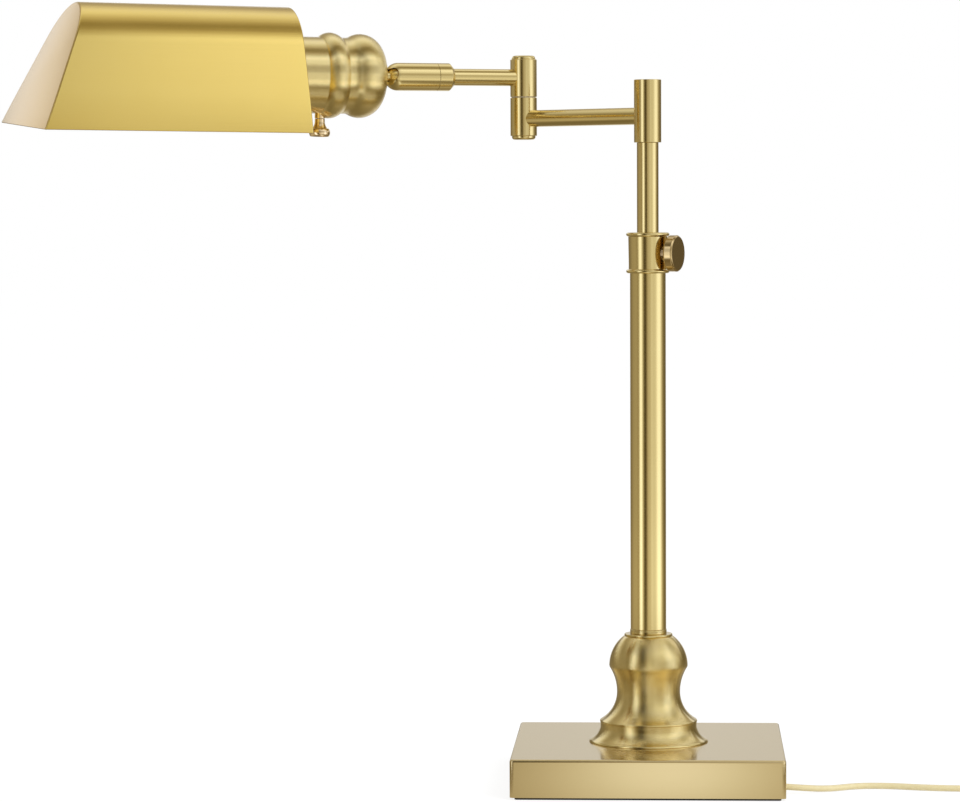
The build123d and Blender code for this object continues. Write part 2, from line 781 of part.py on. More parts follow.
# Slotted ball socket that turns on the upper arm's end
with BuildPart() as swivel_barrel:
    with BuildSketch(upper_line):
        with BuildLine():
            Polyline(
                (ball_distance, barrel_bore),
                (barrel_inner, barrel_bore),
                (barrel_inner, barrel_radius - fine_edge),
                (barrel_inner + fine_edge, barrel_radius),
                (ball_distance, barrel_radius),
            )
            TangentArc(
                (ball_distance, barrel_radius), (ball_distance + barrel_radius, 0), tangent=(1, 0)
            )
            Line((ball_distance + barrel_radius, 0), (ball_distance + barrel_bore, 0))
            TangentArc((ball_distance, barrel_bore), (ball_distance + barrel_bore, 0), tangent=(1, 0))
        make_face()
    revolve(axis=line_axis(upper_line))
    # Slot for the stem, from straight out to the end of its bend
    slot_out = 2 * barrel_radius
    with BuildSketch(slot_plane.offset(-slot_width / 2)):
        with BuildLine():
            ends = [
                (slot_out * cos(radians(turn)), slot_out * sin(radians(turn)))
                for turn in (0, slot_reach)
            ]
            Line((0, 0), ends[0])
            TangentArc(ends[0], ends[1], tangent=(0, 1))
            Line(ends[1], (0, 0))
        make_face()
    extrude(amount=slot_width, mode=Mode.SUBTRACT)
    for turn in (0, slot_reach):
        stem_way = slot_plane.x_dir.rotate(Axis(ball, slot_plane.z_dir), turn)
        with BuildSketch(Plane(origin=ball, z_dir=stem_way)):
            Circle(slot_width / 2)
        extrude(amount=slot_out, mode=Mode.SUBTRACT)
swivel_barrel.part.label = "swivel_barrel"
export_step(swivel_barrel.part, "parts/swivel_barrel.step")

with BuildPart() as ball_pad:
    with BuildSketch(upper_line):
        with BuildLine():
            seat = ball_radius + pad_seat_gap
            seat_low = (ball_distance - sqrt(seat**2 - spigot_bore**2), spigot_bore)
            seat_rim = (pad_outer, sqrt(seat**2 - (ball_distance - pad_outer) ** 2))
            RadiusArc(seat_low, seat_rim, seat)
            Polyline(
                seat_rim,
                (pad_outer, barrel_bore - seat_gap),
                (pad_inner, barrel_bore - seat_gap),
                (pad_inner, spigot_bore),
                seat_low,
            )
        make_face()
    revolve(axis=line_axis(upper_line))
ball_pad.part.label = "ball_pad"
export_step(ball_pad.part, "parts/ball_pad.step")

# Head
with BuildPart() as ball_stem:
    with Locations(ball):
        Sphere(ball_radius)
    with BuildSketch(square_to(head_line, 0)):
        Circle(stem_radius)
    extrude(amount=stem_end)
    with BuildSketch(square_to(head_line, -ball_radius)):
        Circle(stem_bore)
    extrude(amount=stem_end + 2 * ball_radius, mode=Mode.SUBTRACT)
ball_stem.part.label = "ball_stem"
export_step(ball_stem.part, "parts/ball_stem.step")

cup_floor = cup_end + cup_wall

with BuildPart() as stem_nut:
    with BuildSketch(square_to(head_line, cup_floor)):
        RegularPolygon(stem_nut_flats / 2, 6, major_radius=False)
        Circle(stem_radius + seat_gap, mode=Mode.SUBTRACT)
    extrude(amount=stem_nut_height)
stem_nut.part.label = "stem_nut"
export_step(stem_nut.part, "parts/stem_nut.step")

with BuildPart() as socket_cup:
    with BuildSketch(head_line):
        with BuildLine():
            crest = (cup_crest, cup_crest_radius)
            cove = (cove_start, cove_start_radius)
            bead = (bead_start, bead_start_radius)
            Line((cup_end, stem_radius + seat_gap), (cup_end, cup_end_radius))
            TangentArc(crest, (cup_end, cup_end_radius), tangent=(-1, 0))
            TangentArc(crest, cove, tangent=(1, 0))
            ThreePointArc(cove, (cove_middle, cove_radius), bead)
            ThreePointArc(bead, (bead_middle, bead_radius), (bead_end, cup_radius))
            Polyline(
                (bead_end, cup_radius),
                (shade_back, cup_radius),
                (shade_back, cup_bore),
                (cup_crest, cup_bore),
            )
            inner_corner = (cup_floor, cup_end_radius - cup_wall)
            TangentArc((cup_crest, cup_bore), inner_corner, tangent=(-1, 0))
            Polyline(
                inner_corner, (cup_floor, stem_radius + seat_gap), (cup_end, stem_radius + seat_gap)
            )
        make_face()
    revolve(axis=head_axis)
    with BuildSketch(square_to(switch_line, 0)):
        Circle(switch_bush_radius + seat_gap)
    extrude(amount=1.5 * cup_radius, mode=Mode.SUBTRACT)
socket_cup.part.label = "socket_cup"
export_step(socket_cup.part, "parts/socket_cup.step")

with BuildPart() as lamp_holder:
    with BuildSketch(head_line):
        with BuildLine():
            Polyline(
                (holder_foot, 0),
                (holder_foot, holder_radius - holder_taper),
                (holder_foot + holder_taper, holder_radius),
                (holder_flange_foot, holder_radius),
                (holder_flange_foot, holder_flange_radius),
                (shade_back, holder_flange_radius),
                (shade_back, holder_radius),
                (holder_mouth, holder_radius),
                (holder_mouth, holder_bore),
                (holder_floor, holder_bore),
                (holder_floor, 0),
                (holder_foot, 0),
            )
        make_face()
    revolve(axis=head_axis)
    with BuildSketch(square_to(switch_line, spindle_top - spindle_room)):
        Circle(spindle_radius + running_gap)
    extrude(amount=holder_radius, mode=Mode.SUBTRACT)
lamp_holder.part.label = "lamp_holder"
export_step(lamp_holder.part, "parts/lamp_holder.step")

with BuildPart() as shade_nut:
    with BuildSketch(square_to(head_line, shade_back + sheet)):
        Circle(shade_nut_radius)
        Circle(holder_radius + seat_gap, mode=Mode.SUBTRACT)
    extrude(amount=shade_nut_length)
    fillet(shade_nut.edges().filter_by(GeomType.CIRCLE).sort_by(head_axis)[-1], shade_nut_edge)
shade_nut.part.label = "shade_nut"
export_step(shade_nut.part, "parts/shade_nut.step")

with BuildPart() as lamp_base:
    with BuildSketch(square_to(head_line, lamp_base_foot)):
        Circle(lamp_base_radius)
    extrude(amount=lamp_base_head - lamp_base_foot)
    chamfer(lamp_base.faces().sort_by(head_axis)[0].edges(), lamp_base_taper)
lamp_base.part.label = "lamp_base"
export_step(lamp_base.part, "parts/lamp_base.step")

with BuildPart() as lamp_glass:
    with BuildSketch(head_line):
        with BuildLine():
            for inset in (0, glass_wall):
                neck = (lamp_base_head, lamp_base_radius - inset)
                shoulder = (lamp_base_head + lamp_neck, lamp_base_radius + lamp_neck_flare - inset)
                belly = (lamp_middle, lamp_radius - inset)
                Line(neck, shoulder)
                TangentArc(belly, shoulder, tangent=(-1, 0))
                TangentArc(belly, (lamp_middle + lamp_radius - inset, 0), tangent=(1, 0))
            Line(neck, (lamp_base_head, lamp_base_radius))
            Line((lamp_middle + lamp_radius - glass_wall, 0), (lamp_middle + lamp_radius, 0))
        make_face()
    revolve(axis=head_axis)
lamp_glass.part.label = "lamp_glass"
export_step(lamp_glass.part, "parts/lamp_glass.step")

# Shade: the trough's end view, then its slanted end
arch_x = cos(radians(shade_flare))
arch_y = sin(radians(shade_flare))
shade_foot = shade_rise - shade_height
slant_top = shade_back + shade_ridge_length

# End views of the trough's outside and, set in by the sheet, of its inside
end_views = []
for inset in (0, sheet):
    arch_radius = shade_arch_radius - inset
    arch_centre = shade_rise - shade_arch_radius
    spring = (arch_radius * arch_x, arch_centre + arch_radius * arch_y)
    far_spring = (-spring[0], spring[1])
    side_foot = (spring[0] + (spring[1] - shade_foot) * tan(radians(shade_flare)), shade_foot)
    with BuildSketch() as end_view:
        with BuildLine():
            Line(side_foot, spring)
            ThreePointArc(spring, (0, arch_centre + arch_radius), far_spring)
            Polyline(far_spring, (-side_foot[0], shade_foot), side_foot)
        make_face()
    end_views.append(end_view.sketch)
outer_view, inner_view = end_views


def slant_plane(depth):
    """The slanted end, that deep inside its outer face; its z points out."""
    top = head_line.from_local_coords((slant_top, shade_rise, 0))
    out = head_line.x_dir.rotate(Axis(top, head_line.z_dir), shade_slant)
    return Plane(origin=top - out * depth, x_dir=head_line.z_dir, z_dir=out)


shade_reach = shade_ridge_length + shade_height

with BuildPart() as shade_trough:
    with BuildSketch(square_to(head_line, shade_back + sheet)):
        add(outer_view)
    extrude(amount=shade_reach)
    with BuildSketch(square_to(head_line, shade_back)):
        add(inner_view)
    extrude(amount=2 * shade_reach, mode=Mode.SUBTRACT)
    split(bisect_by=slant_plane(sheet), keep=Keep.BOTTOM)
shade_trough.part.label = "shade_trough"
export_step(shade_trough.part, "parts/shade_trough.step")

with BuildPart() as shade_end_panel:
    with BuildSketch(square_to(head_line, shade_back)):
        add(outer_view)
    extrude(amount=shade_reach)
    split(bisect_by=slant_plane(0), keep=Keep.BOTTOM)
    split(bisect_by=slant_plane(sheet), keep=Keep.TOP)
shade_end_panel.part.label = "shade_end_panel"
export_step(shade_end_panel.part, "parts/shade_end_panel.step")

with BuildPart() as shade_back_panel:
    with BuildSketch(square_to(head_line, shade_back)):
        add(outer_view)
        Circle(holder_radius + shade_hole_gap, mode=Mode.SUBTRACT)
    extrude(amount=sheet)
shade_back_panel.part.label = "shade_back_panel"
export_step(shade_back_panel.part, "parts/shade_back_panel.step")

# Rotary switch
with BuildPart() as switch_bushing:
    with BuildSketch(square_to(switch_line, switch_bush_top)):
        Circle(switch_bush_radius)
    extrude(amount=switch_bush_end - switch_bush_top)
    fillet(switch_bushing.faces().sort_by(line_axis(switch_line))[-1].edges(), switch_bush_edge)
    with BuildSketch(square_to(switch_line, switch_bush_top)):
        Circle(spindle_radius + running_gap)
    extrude(amount=switch_bush_end - switch_bush_top, mode=Mode.SUBTRACT)
switch_bushing.part.label = "switch_bushing"
export_step(switch_bushing.part, "parts/switch_bushing.step")

with BuildPart() as switch_knob:
    with BuildSketch(switch_line):
        with BuildLine():
            neck = (knob_top + knob_neck, knob_neck_radius)
            flare_end = (knob_shoulder, knob_neck_radius + knob_flare)
            rim = (knob_shoulder, knob_disc_radius - knob_round)
            Polyline((knob_top, spindle_radius), (knob_top, knob_neck_radius), neck)
            TangentArc(neck, flare_end, tangent=(1, 0))
            Line(flare_end, rim)
            ThreePointArc(
                rim,
                ((knob_shoulder + knob_end) / 2, knob_disc_radius),
                (knob_end, knob_disc_radius - knob_round),
            )
            Polyline(
                (knob_end, knob_disc_radius - knob_round),
                (knob_end, 0),
                (knob_end - knob_end_wall, 0),
                (knob_end - knob_end_wall, spindle_radius),
                (knob_top, spindle_radius),
            )
        make_face()
    revolve(axis=line_axis(switch_line))
switch_knob.part.label = "switch_knob"
export_step(switch_knob.part, "parts/switch_knob.step")

with BuildPart() as switch_spindle:
    with BuildSketch(square_to(switch_line, spindle_top)):
        Circle(spindle_radius)
    extrude(amount=knob_end - knob_end_wall - spindle_top)
switch_spindle.part.label = "switch_spindle"
export_step(switch_spindle.part, "parts/switch_spindle.step")

# Supply cord
desk_z = cord_radius + desk_gap
coil_z = coil_lift + cord_radius
coil_top_z = coil_z + (coil_layers - 1) * coil_pitch
coil_front = coil_y - coil_outer_radius
cord_diameter = 2 * cord_radius
coil_start = Vector(coil_x, coil_front, coil_z)
coil_finish = Vector(coil_x, coil_front, coil_top_z)
coil_lead_in = Vector(cord_diameter, 0, 0)

lead_points = [
    (grommet_outer, exit_y, exit_z),
    (91.0, exit_y, 3.6),
    (106.0, -44.5, desk_z),
    (122.0, -32.5, desk_z),
    (141.0, -31.5, desk_z),
    (163.0, -38.5, desk_z),
    (186.0, -41.5, desk_z),
    (205.0, coil_front, coil_z),
    tuple(coil_start - coil_lead_in),
]
tail_points = [
    tuple(coil_finish + coil_lead_in),
    (coil_x + 16.0, coil_front, coil_top_z),
    (coil_x + 30.5, -37.5, 11.0),
    (plug_x, -22.0, plug_z),
    (plug_x, boot_start, plug_z),
]


def bend_radii(points):
    """The largest arc that each corner's two runs allow."""
    runs = [Vector(b) - Vector(a) for a, b in zip(points, points[1:])]
    radii = []
    for before, after in zip(runs, runs[1:]):
        half_turn = radians(before.get_angle(after)) / 2
        radii.append(0.45 * min(before.length, after.length) / tan(half_turn))
    return radii


def report_cord(name, line, part):
    swept = pi * cord_radius**2 * line.length
    print(f"{name}: length {line.length:.1f} mm, volume {part.volume / swept:.4f} of section times length")


with BuildPart() as cord_lead:
    with BuildLine() as lead_line:
        FilletPolyline(lead_points, radius=bend_radii(lead_points))
    with BuildSketch(Plane(origin=lead_line.line @ 0, z_dir=lead_line.line % 0)):
        Circle(cord_radius)
    sweep()
cord_lead.part.label = "cord_lead"
export_step(cord_lead.part, "parts/cord_lead.step")
print("lead radii", [round(r, 1) for r in bend_radii(lead_points)])
report_cord("lead", lead_line.wires()[0], cord_lead.part)


def turn_radius(turn):
    """Radius of a half turn: the loops spiral in and out at a steady rate."""
    return coil_outer_radius - coil_pitch / 2 * abs((turn + coil_steps) % (2 * coil_steps) - coil_steps)


with BuildPart() as cord_coil:
    with BuildLine() as coil_line:
        Line(coil_start - coil_lead_in, coil_start)
        here = coil_start
        for turn in range(coil_half_turns):
            radius = turn_radius(turn)
            side = 1 if turn % 2 == 0 else -1
            across = Vector(0, 2 * radius * side, 0)
            if turn and turn % coil_steps == 0:
                # The loops climb a layer in the half turn where the spiral reverses
                climb = Vector(0, 0, coil_pitch)
                bulge = sqrt(radius**2 + coil_pitch**2 / 4)
                middle = here + across / 2 + climb / 2 + Vector(bulge * side, 0, 0)
                TangentArc(here, middle, tangent=(side, 0, 0))
                TangentArc(middle, here + across + climb, tangent=across / 2 + climb / 2)
                here = here + across + climb
            else:
                ThreePointArc(here, here + across / 2 + Vector(radius * side, 0, 0), here + across)
                here = here + across
        Line(here, here + coil_lead_in)
    with BuildSketch(Plane(origin=coil_line.line @ 0, z_dir=coil_line.line % 0)):
        Circle(cord_radius)
    sweep()
cord_coil.part.label = "cord_coil"
export_step(cord_coil.part, "parts/cord_coil.step")
report_cord("coil", coil_line.wires()[0], cord_coil.part)

# Least gap between the coil's turns, measured on points along its line
sample_step = 2.0
coil_wire = coil_line.wires()[0]
sample_count = int(coil_wire.length / sample_step)
samples = [coil_wire @ (k / sample_count) for k in range(sample_count + 1)]
apart = int(4 * cord_diameter / sample_step)
least = min((a - b).length for k, a in enumerate(samples) for b in samples[k + apart :])
print(f"coil: least gap between turns {least - cord_diameter:.2f} mm")

with BuildPart() as cord_tail:
    with BuildLine() as tail_line:
        FilletPolyline(tail_points, radius=bend_radii(tail_points))
    with BuildSketch(Plane(origin=tail_line.line @ 0, z_dir=tail_line.line % 0)):
        Circle(cord_radius)
    sweep()
cord_tail.part.label = "cord_tail"
export_step(cord_tail.part, "parts/cord_tail.step")
print("tail radii", [round(r, 1) for r in bend_radii(tail_points)])
report_cord("tail", tail_line.wires()[0], cord_tail.part)
cord_length = sum(line.wires()[0].length for line in (lead_line, coil_line, tail_line))
print(f"cord: {cord_length:.0f} mm in all")

# Band round the coil's left side, where the turns lie in three columns of four
tie_inner = turn_radius(coil_steps - 1) - cord_radius - tie_inner_gap
tie_outer = turn_radius(1) + cord_radius + tie_gap
tie_foot = coil_lift - tie_gap
tie_head = coil_top_z + cord_radius + tie_gap

with BuildPart() as coil_tie:
    with BuildSketch(Plane.XZ.offset(-coil_y - tie_width / 2)):
        with Locations((coil_x - (tie_inner + tie_outer) / 2, (tie_foot + tie_head) / 2)):
            tie_across, tie_high = tie_outer - tie_inner, tie_head - tie_foot
            RectangleRounded(tie_across + 2 * tie_wall, tie_high + 2 * tie_wall, tie_corner + tie_wall)
            RectangleRounded(tie_across, tie_high, tie_corner, mode=Mode.SUBTRACT)
    extrude(amount=tie_width)
coil_tie.part.label = "coil_tie"
export_step(coil_tie.part, "parts/coil_tie.step")

# Moulded two blade plug, lying flat beside the coil
plug_start = boot_start + boot_length


def across_plug(y):
    """A plane square to the plug at that y, with x across and y up."""
    return Plane(origin=(plug_x, y, plug_z), x_dir=(-1, 0, 0), z_dir=(0, 1, 0))


with BuildPart() as plug_body:
    with BuildSketch(across_plug(boot_start)):
        Circle(boot_tip_radius)
    with BuildSketch(across_plug(plug_start)):
        Circle(boot_radius)
    loft()
    with BuildSketch(across_plug(plug_start)):
        RectangleRounded(plug_neck_width, plug_neck_thick, plug_corner)
    with BuildSketch(across_plug(plug_start + plug_taper)):
        RectangleRounded(plug_width, plug_thick, plug_corner)
    loft()
    with BuildSketch(across_plug(plug_start + plug_taper)):
        RectangleRounded(plug_width, plug_thick, plug_corner)
    extrude(amount=plug_length - plug_taper)
    fillet(plug_body.faces().sort_by(Axis.Y)[-1].edges(), plug_edge)
plug_body.part.label = "plug_body"
export_step(plug_body.part, "parts/plug_body.step")

with BuildPart() as plug_blades:
    with BuildSketch(across_plug(plug_start + plug_length)):
        with GridLocations(blade_pitch, 0, 2, 1):
            Rectangle(blade_wall, blade_width)
    extrude(amount=blade_length)
    chamfer(plug_blades.faces().sort_by(Axis.Y)[-2:].edges().filter_by(Axis.Z), blade_edge)
    hole_y = plug_start + plug_length + blade_length - blade_hole_from_tip
    with BuildSketch(Plane(origin=(plug_x, hole_y, plug_z), z_dir=(1, 0, 0))):
        Circle(blade_hole / 2)
    extrude(amount=plug_width / 2, both=True, mode=Mode.SUBTRACT)
plug_blades.part.label = "plug_blades"
export_step(plug_blades.part, "parts/plug_blades.step")
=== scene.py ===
import json
from math import atan2, cos, pi, radians, sin, sqrt, tan

import bmesh
import bpy
from mathutils import Matrix, Vector


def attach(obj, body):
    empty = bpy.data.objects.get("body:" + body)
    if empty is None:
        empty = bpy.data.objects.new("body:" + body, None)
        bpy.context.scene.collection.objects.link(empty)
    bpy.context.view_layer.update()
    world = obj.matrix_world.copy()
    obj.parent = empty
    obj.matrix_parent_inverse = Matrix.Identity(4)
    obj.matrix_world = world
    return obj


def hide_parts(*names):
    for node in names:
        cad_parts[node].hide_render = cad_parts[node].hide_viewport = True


# Swing arm desk lamp in satin brass. Sizes are in millimetres until a piece is made, in metres after that.
metre = 0.001
weld = 0.0005  # mm, within which two points are one
nearly = 0.01  # mm, within which two points are level
seatGap = 0.02  # mm, left between pieces that seat in each other
sharpAngle = 40  # degrees, from which an edge stays sharp
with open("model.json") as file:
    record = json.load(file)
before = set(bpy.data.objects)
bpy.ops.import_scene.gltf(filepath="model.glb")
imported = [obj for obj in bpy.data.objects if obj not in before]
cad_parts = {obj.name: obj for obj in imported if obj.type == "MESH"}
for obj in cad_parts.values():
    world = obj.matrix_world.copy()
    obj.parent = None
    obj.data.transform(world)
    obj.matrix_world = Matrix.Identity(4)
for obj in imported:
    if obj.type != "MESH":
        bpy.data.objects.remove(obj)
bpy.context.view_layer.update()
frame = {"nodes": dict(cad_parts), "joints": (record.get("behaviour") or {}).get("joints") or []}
joints = {joint["name"]: joint for joint in frame["joints"]}


# places on the lamp: matrices whose z runs along the turned pieces that sit there
def lyingAt(origin, along, upward):
    along = Vector(along).normalized()
    sideways = Vector(upward).cross(along).normalized()
    place = Matrix((sideways, along.cross(sideways), along)).transposed().to_4x4()
    place.translation = Vector(origin)
    return place


def linked(name, data):
    thing = bpy.data.objects.new(name, data)
    bpy.context.scene.collection.objects.link(thing)
    return thing


def meshOf(name, bm):
    mesh = bpy.data.meshes.new(name)
    bm.to_mesh(mesh)
    bm.free()
    return mesh


def jointPoint(name):
    return Vector(joints[name]["pos_m"]) / metre


def jointAxis(name):
    return Vector(joints[name]["axis"])


armHeight = {"lower": 397.0, "upper": 422.0}
headLie = {"pitch": 0.6, "roll": 3.3, "switchAt": 48.8}  # degrees off the upper arm's line, mm from the ball

zUp = Vector((0, 0, 1))
knuckle = jointPoint("upper_arm_swing")
ball = jointPoint("head_bend")
armRun = jointAxis("head_roll")
armSide = armRun.cross(zUp)
headRun = Matrix.Rotation(radians(headLie["pitch"]), 3, armSide) @ armRun
headUp = Matrix.Rotation(radians(-headLie["roll"]), 3, headRun) @ armSide.cross(headRun).normalized()

postPlace = Matrix.Identity(4)
knucklePlace = Matrix.Translation((knuckle.x, knuckle.y, 0))
lowerArmPlace = lyingAt((0, 0, armHeight["lower"]), (knuckle.x, knuckle.y, 0), zUp)
upperArmPlace = lyingAt((knuckle.x, knuckle.y, armHeight["upper"]), armRun, zUp)
headPlace = lyingAt(ball, headRun, headUp)
thumbPlace = lyingAt(jointPoint("thumb_turn"), jointAxis("thumb_turn"), zUp)
switchPlace = lyingAt(headPlace @ Vector((0, 0, headLie["switchAt"])), -headUp, headRun)


# camera, where the photograph was taken from
photo = {
    "width": 960,
    "sensor": 36,
    "clip": 50,
    "focalPixels": 3783.9,
    "position": (16.62, -2255.1, 347.8),
    "azimuth": 2.969,
    "pitch": 3.048,
    "roll": -0.226,
}


def addCamera():
    turn, dip, roll = (radians(photo[key]) for key in ("azimuth", "pitch", "roll"))
    ahead = Vector((-sin(turn) * cos(dip), cos(turn) * cos(dip), -sin(dip)))
    right = Vector((cos(turn), sin(turn), 0))
    above = right.cross(ahead)
    right, above = cos(roll) * right + sin(roll) * above, cos(roll) * above - sin(roll) * right
    data = bpy.data.cameras.new("photoCamera")
    data.sensor_width = photo["sensor"]
    data.lens = data.sensor_width * photo["focalPixels"] / photo["width"]
    data.clip_end = photo["clip"]
    camera = linked("photoCamera", data)
    stand = Matrix((right, above, -ahead)).transposed().to_4x4()
    stand.translation = Vector(photo["position"]) * metre
    camera.matrix_world = stand
    bpy.context.scene.camera = camera


addCamera()
print("camera: set")


# shader maths: a wrapped socket, so that a material reads as an expression
class Wire:
    def __init__(self, tree, socket=None):
        self.tree, self.socket = tree, socket

    def node(self, kind, settings=None, inputs=None, out=0):
        made = self.tree.nodes.new(kind)
        for key, value in (settings or {}).items():
            if key == "stops":
                elements = made.color_ramp.elements
                while len(elements) < len(value):
                    elements.new(1.0)
                for element, (at, colour) in zip(elements, value):
                    element.position, element.color = at, (*colour, 1)
            else:
                setattr(made, key, value)
        for key, value in (inputs or {}).items():
            if isinstance(value, Wire):
                self.tree.links.new(value.socket, made.inputs[key])
            else:
                made.inputs[key].default_value = value
        return Wire(self.tree, made.outputs[out] if made.outputs else None)

    def maths(self, operation, first, second):
        return self.node("ShaderNodeMath", {"operation": operation}, {0: first, 1: second})

    def __add__(self, other):
        return self.maths("ADD", self, other)

    def __sub__(self, other):
        return self.maths("SUBTRACT", self, other)

    def __mul__(self, other):
        return self.maths("MULTIPLY", self, other)

    def __truediv__(self, other):
        return self.maths("DIVIDE", self, other)

    def __rsub__(self, other):
        return self.maths("SUBTRACT", other, self)

    __radd__, __rmul__ = __add__, __mul__

    def mix(self, first, second):
        first, second = (end if isinstance(end, Wire) else (*end, 1) for end in (first, second))
        return self.node("ShaderNodeMix", {"data_type": "RGBA"}, {0: self, 6: first, 7: second}, out=2)

    def scaled(self, factor):
        return self.node("ShaderNodeVectorMath", {"operation": "SCALE"}, {0: self, 3: factor})

    def rise(self, low, high):
        return self.node("ShaderNodeMapRange", None, {0: self, 1: low, 2: high})

    def ramp(self, along, stops):
        return self.node("ShaderNodeValToRGB", {"stops": stops}, {0: along})

    def noise(self, size, detail=2.0, roughness=0.5):
        return self.node(
            "ShaderNodeTexNoise", None, {"Vector": self, "Scale": 1 / size, "Detail": detail, "Roughness": roughness}
        )


def startMaterial(name):
    material = bpy.data.materials.new(name)
    material.use_nodes = True
    material.node_tree.nodes.clear()
    return material, Wire(material.node_tree).node("ShaderNodeTexCoord", out="Object")


def endMaterial(spot, shader, bump=None):
    if bump:
        shader["Normal"] = spot.node("ShaderNodeBump", None, dict(zip(("Height", "Strength", "Distance"), bump)))
    surface = spot.node("ShaderNodeBsdfPrincipled", None, shader)
    spot.node("ShaderNodeOutputMaterial", None, {"Surface": surface})


brass = {
    "plain": ((0.83, 0.67, 0.29), (0.78, 0.615, 0.25)),  # lightest and deepest tone of each kind
    "rich": ((0.84, 0.62, 0.165), (0.79, 0.57, 0.135)),
    # painted shade: the same brass made darker for the thumb screw's knob
    "paintedShade": ((0.62, 0.455, 0.20), (0.56, 0.40, 0.17)),
    # painted shadow: near-black brass for the boss and stem in the shaded gap between collar and knob
    "dark": ((0.26, 0.17, 0.07), (0.21, 0.135, 0.055)),
    "pale": ((0.80, 0.645, 0.33), (0.76, 0.60, 0.295)),
    "rosy": ((0.91, 0.72, 0.43), (0.87, 0.66, 0.36)),
    # painted reflection: a paler, pinker copy of the shade's brass for its slanted end, where it shows a grazing sheen
    "paintedSheen": ((0.86, 0.62, 0.28), (0.82, 0.575, 0.25)),
    "lacquer": 0.4,
    "lacquerRoughness": 0.12,
    "cloudSize": 0.03,
    "lineRoughness": 0.06,
    "cloudRoughness": 0.04,
    "lineStrength": 0.6,
}


# a normal that leans to and fro along the place's z, as the fine marks of a lathe make it
def spunNormal(spot, place, spread):
    outward = spot.node("ShaderNodeNewGeometry", out="Normal")
    axis = spot.node(
        "ShaderNodeVectorTransform",
        {"vector_type": "VECTOR", "convert_from": "OBJECT", "convert_to": "WORLD"},
        {0: place.col[2].xyz},
    )
    lean = spot.node("ShaderNodeTexWhiteNoise", None, {"Vector": spot}) - 0.5
    tilt = axis.scaled(lean * (2 * spread))
    leant = spot.node("ShaderNodeVectorMath", {"operation": "ADD"}, {0: outward, 1: tilt})
    return spot.node("ShaderNodeVectorMath", {"operation": "NORMALIZE"}, {0: leant})


# satin brass whose polishing lines are grain long, along each axis of a place, in metres, and depth deep
def satinBrass(name, place, grain, tone="plain", roughness=0.15, depth=0.000003, spread=0.0):
    light, deep = brass[tone]
    material, spot = startMaterial(name)
    turned = spot.node(
        "ShaderNodeMapping",
        {"vector_type": "TEXTURE"},
        {"Vector": spot, "Location": place.translation * metre, "Rotation": place.to_euler(), "Scale": grain},
    )
    lines = turned.noise(1.0, 3.0, 0.6)
    cloud = spot.noise(brass["cloudSize"])
    shader = {
        "Base Color": (cloud * 0.7 + lines * 0.3).mix(deep, light),
        "Metallic": 1.0,
        "Roughness": roughness + brass["lineRoughness"] * (lines - 0.5) + brass["cloudRoughness"] * (cloud - 0.5),
        "Coat Weight": brass["lacquer"],
        "Coat Roughness": brass["lacquerRoughness"],
    }
    if spread:
        shader["Normal"] = spunNormal(spot, place, spread)
    endMaterial(spot, shader, None if spread else (lines, brass["lineStrength"], depth))
    return material


# plain finishes of the pieces that the brass hides or carries
grainRoughness = 0.12


def speckled(name, dark, pale, size, shader, bump=None):
    material, spot = startMaterial(name)
    grains = spot.noise(size, 4.0, 0.65)
    depth = (grains, *bump) if bump else None
    rough = shader.pop("roughness")
    rough = rough + grainRoughness * (grains - 0.5)
    endMaterial(spot, {"Base Color": grains.mix(dark, pale), "Roughness": rough, **shader}, depth)
    return material


